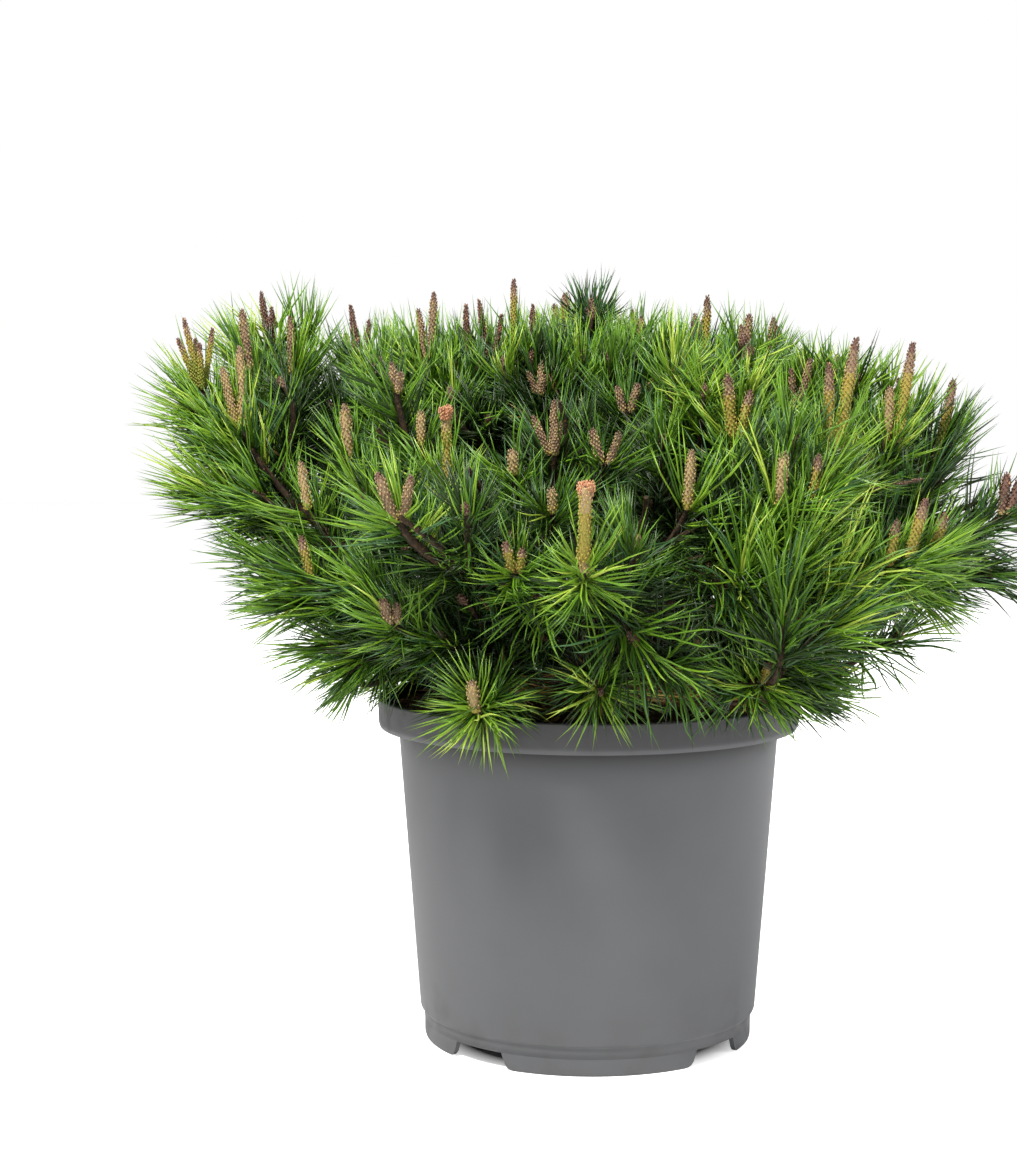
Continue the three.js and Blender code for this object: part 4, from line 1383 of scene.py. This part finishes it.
# How a needle in the way is turned: how often, and how much up and outward each time.
TURNS, TURN_UP, TURN_OUT = 4, 0.45, 0.3
# How a needle that leaves the crown is shortened, and where the skin counts as an underside.
SHORTEST, SHORTENING, FACING_DOWN = 0.72, 0.9, -0.2
# The shares of a needle's length at which it is tested.
POT_TESTS, VEIL_TESTS = (0.35, 0.7, 1.0), (0.25, 0.5, 0.75, 1.0)


def in_pot(points):
    """Whether each point lies in the pot or its peat."""
    radius = np.hypot(points[..., 0], points[..., 1])
    height = points[..., 2]
    share = (height - FLOOR_HEIGHT) / (LIP_HEIGHT - FLOOR_HEIGHT)
    wall = BODY_FOOT_RADIUS + (BODY_TOP_RADIUS - BODY_FOOT_RADIUS) * np.clip(share, 0, 1)
    wall = np.where(height > LIP_HEIGHT - POT_MARGIN, RIM_RADIUS, wall) + POT_MARGIN
    top = np.where(radius < PEAT_RADIUS, soil_height(radius) + PEAT_MARGIN, POT_TOP + POT_MARGIN)
    return (radius < wall) & (height < top)


# How unevenly the needles of a shoot are turned round it, opened, aimed and sized.
TURN_JITTER, OPENING_JITTER, AIM_JITTER, SIZE_JITTER = 0.3, 13, 0.11, 0.12
# How many tones darker they get down the shoot, partly as older needles are darker and partly as painted
# shade deep in the shoot, and which shares of them are bluish or dying.
TONE_DRIFT, TONE_JITTER = 2.8, 0.85
BLUE_SHOOT_SHARE, BLUE_SHARE, DYING_SHARE, DYING_SIZE = 0.4, 0.08, 0.03, 0.75


def needles_of(shoot, line, crown):
    """The pairs of needles on a shoot, one row for each."""
    steps = np.linalg.norm(np.diff(line, axis=0), axis=1)
    travelled = np.concatenate([[0], np.cumsum(steps)])
    total = travelled[-1]
    reach = min(shoot.reach * MM, total - 2 * MM)
    count = int(reach / MM * PAIRS_PER_MM)
    back = reach * np.linspace(0, 1, count) ** 1.3
    tracks = line, np.gradient(line, axis=0)
    places, tangents = (
        np.stack([np.interp(total - back, travelled, track[:, axis]) for axis in range(3)], axis=1)
        for track in tracks
    )
    tangents = unit(tangents)
    first, second = square_to(unit(tangents.mean(0)))
    angles = np.arange(count) * GOLDEN_ANGLE + random.normal(0, TURN_JITTER, count)
    spokes = unit(np.cos(angles)[:, None] * first + np.sin(angles)[:, None] * second)
    spokes = unit(spokes - tangents * (spokes * tangents).sum(1, keepdims=True))
    age = back / max(reach, 1e-6)
    tip_open, base_open = shoot.spread
    jitter = random.normal(0, OPENING_JITTER, count)
    opening = np.radians(tip_open + (base_open - tip_open) * age**0.6 + jitter)
    aims = tangents * np.cos(opening)[:, None] + spokes * np.sin(opening)[:, None]
    aims = unit(aims + UP * 0.06 + random.normal(0, AIM_JITTER, (count, 3)))
    sizes = shoot.needle * MM / NEEDLE_LENGTH * random.normal(1, SIZE_JITTER, count) * (1 - 0.15 * age)
    # Needles further down the shoot take darker tones: older needles, and painted shade.
    tones = shoot.tone + np.round(random.normal(0.1, TONE_JITTER, count) + TONE_DRIFT * age**1.1)
    tones = np.clip(tones, LIME, DEEP)
    cool = random.random(count) < (BLUE_SHOOT_SHARE if shoot.tone == BLUE else BLUE_SHARE)
    tones = np.where(cool, BLUE, tones)
    dying = (random.random(count) < DYING_SHARE) & (age > 0.6)
    tones = np.where(dying, random.choice([STRAW, RUST], count), tones)
    sizes = np.where(dying, sizes * DYING_SIZE, sizes)
    habits = first_shape(shoot.habit) + random.integers(0, HABITS[shoot.habit].shapes, count)
    needles = steer_clear(np.column_stack([places + spokes * MM, aims, tangents, sizes, tones, habits]))
    if not in_bare_front(shoot.hub):
        if shoot.shown:
            slacks = (shoot.free * MM - FREE_REACH, shoot.free * MM + FREE_REACH)
            needles = trim_to_crown(needles, crown, slacks, SHOWN_UNDERSIDE_SHARE)
        else:
            needles = trim_to_crown(needles, crown, OUTLINE_SLACK, UNDERSIDE_SHARE)
    return needles


PLACE, AIM, BEND, SIZE, TONE, HABIT = slice(0, 3), slice(3, 6), slice(6, 9), 9, 10, 11


def needle_points(needles, share):
    """Where each needle is after a share of its length."""
    return needles[:, PLACE] + needles[:, AIM] * (needles[:, SIZE] * NEEDLE_LENGTH * share)[:, None]


def blocked_needles(needles):
    """Which of the needles run into the pot or the peat."""
    blocked = np.zeros(len(needles), bool)
    for share in POT_TESTS:
        blocked |= in_pot(needle_points(needles, share))
    return blocked


def steer_clear(needles):
    """Turns needles up and away from the pot and the peat, and drops those that can't clear them."""
    outward = unit(needles[:, PLACE] * np.array([1, 1, 0]))
    for _ in range(TURNS):
        blocked = blocked_needles(needles)
        turned_up = unit(needles[:, AIM] + UP * TURN_UP + outward * TURN_OUT)
        needles[:, AIM] = np.where(blocked[:, None], turned_up, needles[:, AIM])
    return needles[~blocked_needles(needles)]


def trim_to_crown(needles, crown, slacks, underside_share):
    """Shortens needles that reach out of the crown's outline, and drops the worst."""
    kept = []
    for needle, tip in zip(needles, needle_points(needles, 1.0)):
        near, normal, _, distance = crown.find_nearest(Vector(tip))
        slack = random.uniform(*slacks) * (underside_share if normal.z < FACING_DOWN else 1)
        if (Vector(tip) - near).dot(normal) > 0 and distance > slack:
            excess = SHORTENING * (distance - slack) / (needle[SIZE] * NEEDLE_LENGTH)
            needle[SIZE] *= max(SHORTEST, 1 - excess)
            if distance > slack + slacks[1]:
                continue
        kept.append(needle)
    return np.array(kept).reshape(-1, needles.shape[1])


def clear_points(stems):
    """Points that needles before them would hide, each with the clear radius it asks for.

    They lie on the candles and bare stems of shown shoots and in the hollows.
    """
    points = [(*hollow * MM, CLEAR_HOLLOW[1]) for hollow in HOLLOWS]
    for shoot, line in stems:
        if not shoot.shown:
            continue
        if shoot.bared:
            from_tip = np.cumsum(np.linalg.norm(np.diff(line[::-1], axis=0), axis=1))
            points += [(*point, CLEAR_STEM) for point in line[::-1][1:][from_tip < shoot.bared * MM]]
        if shoot.candles.kind not in ("bud", "scar"):
            lowest = max(0.4, 0.1 + shoot.sunk / shoot.candles.length)
            for root, way, length, _ in candle_stand(shoot):
                places = [root + way * length * share for share in np.linspace(lowest, 1, 4)]
                points += [(*place, CLEAR_CANDLE) for place in places]
    return np.array(points)


def opened(needles, clear):
    """The needles without those that pass close before a point that is to be seen."""
    veils = np.zeros(len(needles), bool)
    places, radii = clear[:, :3], clear[:, 3]
    sight = unit(CAMERA_PLACE - places)
    for share in VEIL_TESTS:
        way = needle_points(needles, share)[:, None, :] - places[None, :, :]
        before = (way * sight[None, :, :]).sum(-1)
        aside = np.linalg.norm(way - sight[None, :, :] * before[:, :, None], axis=-1)
        veils |= ((before > VEILS[0]) & (before < VEILS[1]) & (aside < radii)).any(1)
    return needles[~veils]


def needle_pair(name, habit):
    """Two slivers from one root, a unit long and a unit wide, each closed to a point at both ends."""
    corners, faces = [], []
    for side_of_pair in (1, -1):
        lean = random.uniform(*habit.lean) * side_of_pair
        bow = random.uniform(*habit.bow)
        sway = random.normal(0, habit.sway)
        wave = random.normal(0, habit.wave)
        first = len(corners)
        for share, radius in ((0.0, 0), *habit.rings, (1.0, 0)):
            ripple = wave * math.sin(2 * math.pi * share)
            middle = np.array([bow * share**2 + ripple, lean * share + sway * share**2 - ripple, share])
            if radius == 0:
                corners.append(middle)
                continue
            corners += [middle + np.array([across, up, 0]) * radius for across, up in rays(3)]
        faces += sliver(first, len(habit.rings))
    return mesh_object(name, corners, faces)


def make_needles(stems, crown):
    """One piece of needles for each half of each tier."""
    pairs = bpy.data.collections.new("pairs")
    for habit in HABITS.values():
        for _ in range(habit.shapes):
            number = len(pairs.objects)
            pairs.objects.link(needle_pair(f"pair_{number:02d}", habit))
    tree = needle_tree()
    clear = clear_points(stems)
    groups = {}
    for shoot, line in stems:
        tier = shoot.mass.split("_")[0]
        tier = "top" if tier == "heart" else tier
        side = "left" if shoot.hub[0] < 0 else "right"
        groups.setdefault(f"needles_{tier}_{side}", []).append(needles_of(shoot, line, crown))
    for name, sprays in sorted(groups.items()):
        needles = opened(np.concatenate(sprays), clear)
        columns = {"aim": AIM, "bend": BEND, "size": SIZE, "tone": TONE, "habit": HABIT}
        values = {label: needles[:, column] for label, column in columns.items()}
        source = point_object(name + "_points", needles[:, PLACE], **values)
        piece = grown(name, source, tree, {"Pairs": pairs})
        finish_piece(piece, masses_behind(name))
    remove_collection(pairs)


def masses_behind(piece_name):
    """The masses of the tier and side that a piece of needles stands for."""
    _, tier, side = piece_name.split("_")
    tiers = ("top", "heart") if tier == "top" else (tier,)
    sign = -1 if side == "left" else 1
    own = [name for name in MASSES if name.split("_")[0] in tiers]
    return [name for name in own if sum(corner.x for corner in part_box(name)) * sign >= 0]


# ------------------------------------------------------------------ candles

# The tones up a candle of each kind, from its foot to its tip.
CANDLE_KINDS = {
    "slim": (GREEN, GREEN, GREEN, GOLD, MAUVE, MAUVE),
    "gold": (GREEN, GOLD, GREEN, PEACH, MAUVE, MAUVE),
    "peach": (GREEN, GOLD, PEACH, PEACH, PEACH, PINK),
    "pink": (GOLD, PEACH, PINK, PEACH, PINK, MAUVE),
    "mauve": (GOLD, PINK, MAUVE, MAUVE, MAUVE, MAUVE),
    "red": (PEACH, PEACH, PINK, PINK, PINK, MAUVE),
    "stalk": (PEACH, GOLD, GREEN, GOLD, PEACH, PEACH),
    "head": (CORAL, CORAL, CORAL, CORAL, CORAL, CORAL),
    "bud": (PINK, MAUVE, MAUVE, MAUVE, MAUVE, MAUVE),
    "scar": (MAUVE, PINK, MAUVE, PINK, MAUVE, MAUVE),
}
# How far up a candle its rings are, how thick it is there and how big its scales are.
CANDLE_SHAPE = ((0, 0.8, 1), (0.12, 1, 1), (0.4, 0.92, 1), (0.7, 0.96, 1), (0.9, 0.72, 0.9), (1, 0.3, 0.8))
STALK_SHAPE = ((0, 1, 1.2), (0.12, 0.95, 1.1), (0.4, 0.82, 1), (0.7, 0.8, 1), (0.9, 0.86, 1), (1, 0.7, 1))
# The buds that crown a knobbed candle: their number, lengths, and sizes in candle widths.
BUD_HEADS, HEAD_LENGTHS, HEAD_WIDTH, HEAD_RING, HEAD_LEAN = 7, (5.0, 6.4), 0.38, 0.28, 0.2
MIDDLE_HEAD_LENGTH, MIDDLE_HEAD_WIDTH, HEAD_DROP = 6.5 * MM, 0.5, 5 * MM
# How much a candle follows the course of its shoot instead of standing upright.
FOLLOWS = {"bud": 0.9, "scar": 1.1}
FOLLOW = 0.3
# How often and to which share a candle that stands out of the crown is cut back.
CUTS, CUT_SHARE = 6, 0.82


def candle_chain(root, way, length, width, kind):
    """The points up a candle with their girths, tones and scale sizes."""
    side = square_to(way)[0] * random.normal(0, 0.04)
    shares, girths, sizes = np.array(STALK_SHAPE if kind == "stalk" else CANDLE_SHAPE).T
    line = np.array([root + way * length * share + side * length * share**2 for share in shares])
    return line, girths * width / 2, np.array(CANDLE_KINDS[kind], float), sizes


def candle_stand(shoot):
    """The foot, direction, length and width of each candle on a shoot's hub."""
    group = shoot.candles
    stands = []
    for i in range(group.count):
        bearing = group.first + 360 * i / max(group.count, 1)
        along = FOLLOWS.get(group.kind, FOLLOW)
        upright = unit(UP * (1.1 - along) + shoot.way * along)
        leader = i == 0 and group.count != 2
        splay = math.radians(group.splay * (0.3 if leader else 0.9 + 0.3 * ((i * GOLDEN_SHARE) % 1)))
        way = unit(upright + heading(bearing) * math.tan(splay))
        shorter = 0.92 if group.count == 2 and group.splay > 12 else 0.58 + 0.3 * ((i * GOLDEN_SHARE) % 1)
        length = group.length * (1 if i == 0 else shorter) * MM
        width = group.width * (1 if i == 0 else 0.85) * MM
        root = shoot.hub - shoot.way * 1 * MM + heading(bearing) * (0 if leader else 1.8 * MM)
        stands.append((root, way, length, width))
    return stands


def fitted_length(root, way, length, crown):
    """A candle's length, cut back where it would stand far out of the crown."""
    for _ in range(CUTS):
        tip = Vector(root + way * length)
        near, normal, _, distance = crown.find_nearest(tip)
        slack = CANDLE_SLACK[1] if tip.z < CREST_HEIGHT else CANDLE_SLACK[0]
        if (tip - near).dot(normal) < 0 or distance < slack:
            break
        length *= CUT_SHARE
    return length


def candles_of(shoot, crown):
    """The chains of the candles that stand on a shoot's hub."""
    chains = []
    for root, way, length, width in candle_stand(shoot):
        if not shoot.shown:
            length = fitted_length(root, way, length, crown)
        kind = shoot.candles.kind
        chains.append(candle_chain(root, way, length, width, "stalk" if kind == "knob" else kind))
        if kind == "knob":
            chains += bud_heads(root + way * (length - HEAD_DROP), way, width)
    return chains


def bud_heads(foot, way, width):
    """The ring of little buds that crowns a knobbed candle, with one more in its middle."""
    chains = [candle_chain(foot, way, MIDDLE_HEAD_LENGTH, width * MIDDLE_HEAD_WIDTH, "head")]
    for i in range(BUD_HEADS):
        side = np.cos(i * 2 * math.pi / BUD_HEADS) * square_to(way)[0]
        side = side + np.sin(i * 2 * math.pi / BUD_HEADS) * square_to(way)[1]
        place = foot + side * width * HEAD_RING
        length = random.uniform(*HEAD_LENGTHS) * MM
        chains.append(candle_chain(place, unit(way + side * HEAD_LEAN), length, width * HEAD_WIDTH, "head"))
    return chains


def bud_scale():
    """One papery scale: a short closed sliver, a unit long and wide."""
    middle = [(0.5 * across, 0.5 * up, 0.4) for across, up in rays(3)]
    return mesh_object("bud_scale", [(0, 0, -0.1), *middle, (0.1, 0, 1.0)], sliver(0, 1))


def chain_object(name, chains, labels):
    """Separate chains of points in one mesh, with a value of each label at each point."""
    points, edges = [], []
    columns = {label: [] for label in labels}
    for line, *values in chains:
        first = len(points)
        points += list(line)
        edges += [(first + i, first + i + 1) for i in range(len(line) - 1)]
        for label, value in zip(labels, values):
            columns[label] += list(value)
    return point_object(name, points, edges, **{label: np.array(values) for label, values in columns.items()})


def make_candles(stems, crown):
    """The cores of all candles as one piece, and their scales as another."""
    chains = [chain for shoot, _ in stems for chain in candles_of(shoot, crown)]
    labels = ("girth", "tone", "size")
    scale_shape = bud_scale()
    cores = grown("candle_cores", chain_object("core_chains", chains, labels), candle_core_tree(), {})
    source = chain_object("scale_chains", chains, labels)
    scales = grown("candle_scales", source, scale_tree(), {"Scale Shape": scale_shape})
    bpy.data.objects.remove(scale_shape)
    for piece in (cores, scales):
        finish_piece(piece)


# ------------------------------------------------------------------ wood


LIMB_LOOK = {
    "Sides": 16, "Ring Spacing": 2 * MM, "Relief": 1.1 * MM, "Scale Size": 4.5 * MM, "Bark": BARK,
}
TWIG_LOOK = {
    "Sides": 6, "Ring Spacing": 4 * MM, "Relief": 0.5 * MM, "Scale Size": 2.2 * MM, "Bark": TWIG_BARK,
}


def make_wood(limbs, twigs):
    """The trunk and boughs with scaly relief, and the thinner branches and shoot stems."""
    tree = stem_tree()
    limb_chains = [(smooth_line(line), np.interp(*resampled(line, girths))) for line, girths in limbs]
    thick = grown("bark_limbs", chain_object("limb_chains", limb_chains, ["girth"]), tree, LIMB_LOOK)
    finish_piece(thick, LIMBS)
    thin = grown("twigs", chain_object("twig_chains", twigs, ["girth"]), tree, TWIG_LOOK)
    finish_piece(thin)


def resampled(line, girths):
    """What np.interp needs to spread a line's girths over its smoothed points."""
    smooth = smooth_line(line)
    steps = np.concatenate([[0], np.cumsum(np.linalg.norm(np.diff(smooth, axis=0), axis=1))])
    marks = np.concatenate([[0], np.cumsum(np.linalg.norm(np.diff(line, axis=0), axis=1))])
    return steps / steps[-1], marks / marks[-1], girths


def grow_plant():
    """Grows everything above the peat."""
    wood = Wood()
    limbs = []
    for name in LIMBS:
        line, girths = limb_line(name)
        limbs.append((line, girths))
        wood.add(smooth_line(line), None, name, visible=False)
    masses = [read_mass(name) for name in MASSES]
    crown = whole_crown(masses)
    grow_branches(wood, masses)
    placed = SHOWN_SHOOTS + behind_hollows()
    placed += [shoot for ring in LOW_RINGS for shoot in low_ring(*ring)]
    placed += [shaded(place, (180, 30)) for place in BACK_FILLERS] + crest_rows()
    shoots = [shoot._replace(mass=nearest_mass(masses, shoot.hub).name) for shoot in placed]
    taken = [shoot.hub for shoot in shoots]
    for hub, mass in fill_hubs(masses, crown, taken, SKIN_DEPTH, SHOOT_SPACING):
        shoots.append(rule_shoot(hub, mass))
    taken = [shoot.hub for shoot in shoots]
    for hub, mass in fill_hubs(masses, crown, taken, INNER_DEPTH, INNER_SPACING):
        shoots.append(inner_shoot(hub, mass))
    stems = []
    for shoot in shoots:
        line = shoot_line(wood, shoot)
        stems.append((shoot, line))
        thickness = np.linspace(*SHOOT_GIRTHS, len(line)) * (BARED_GIRTH if shoot.bared else 1)
        wood.chains.append((line, thickness))
    make_wood(limbs, wood.chains)
    make_needles(stems, crown)
    make_candles(stems, crown)


# ------------------------------------------------------------------ stage, light and camera


def make_camera():
    data = bpy.data.cameras.new("camera")
    data.lens, data.sensor_width = CAMERA_LENS, CAMERA_SENSOR
    camera = link(bpy.data.objects.new("camera", data))
    camera.location = tuple(CAMERA_PLACE)
    camera.rotation_euler = (math.radians(90 - CAMERA_DIP), 0.0, math.radians(CAMERA_TURN))
    scene.camera = camera


def area_light(name, place, size, power, colour=(1, 1, 1)):
    data = bpy.data.lights.new(name, "AREA")
    data.size, data.energy, data.color = size, power, colour
    lamp = link(bpy.data.objects.new(name, data))
    lamp.location = place
    lamp.rotation_euler = (LIT_PLACE - Vector(place)).to_track_quat("-Z", "Y").to_euler()


def make_stage():
    """A plain pale floor in a white room, lit by soft boxes."""
    corners = [(x * FLOOR_EXTENT, y * FLOOR_EXTENT, 0) for x, y in ((-1, -1), (1, -1), (1, 1), (-1, 1))]
    material, tree, shader = bare_material("pale_floor", Base_Color=FLOOR_COLOUR, Roughness=0.9)
    place = tree.add("ShaderNodeTexCoord")["Object"]
    distance = tree.add("ShaderNodeVectorMath", place, operation="LENGTH")["Value"]
    glow = tree.span(distance, *GLOW_RADII, 0.0, GLOW)
    seen = tree.add("ShaderNodeLightPath")["Is Camera Ray"]
    share = tree.math("ADD", tree.math("MULTIPLY", seen, 1 - UNSEEN_GLOW), UNSEEN_GLOW)
    strength = tree.math("MULTIPLY", glow, share)
    tree.feed(shader, {"Emission Color": WHITE, "Emission Strength": strength})
    floor = mesh_object("floor", corners, [(0, 1, 2, 3)], [material], smooth=False)
    world = bpy.data.worlds.new("white_room")
    world.use_nodes = True
    world.node_tree.nodes.clear()
    scene.world = world
    tree = Tree(world.node_tree)
    seen = tree.add("ShaderNodeBackground", Color=WHITE, Strength=1.0)[0]
    light = tree.add("ShaderNodeBackground", Color=ROOM_COLOUR, Strength=ROOM_LIGHT)[0]
    path = tree.add("ShaderNodeLightPath")["Is Camera Ray"]
    tree.add("ShaderNodeOutputWorld", Surface=tree.add("ShaderNodeMixShader", path, light, seen)[0])
    area_light("key", (-0.7, -1.2, 2.1), 0.4, 84, (1, 0.985, 0.95))
    area_light("fill", (1.5, -0.7, 1.2), 1.0, 13)
    area_light("back", (0.4, 1.6, 1.6), 1.2, 38)
    scene.view_settings.view_transform = "Standard"


# ------------------------------------------------------------------ everything

make_camera()
make_stage()
pot_body()
pot_feet()
litter(peat())
grow_plant()
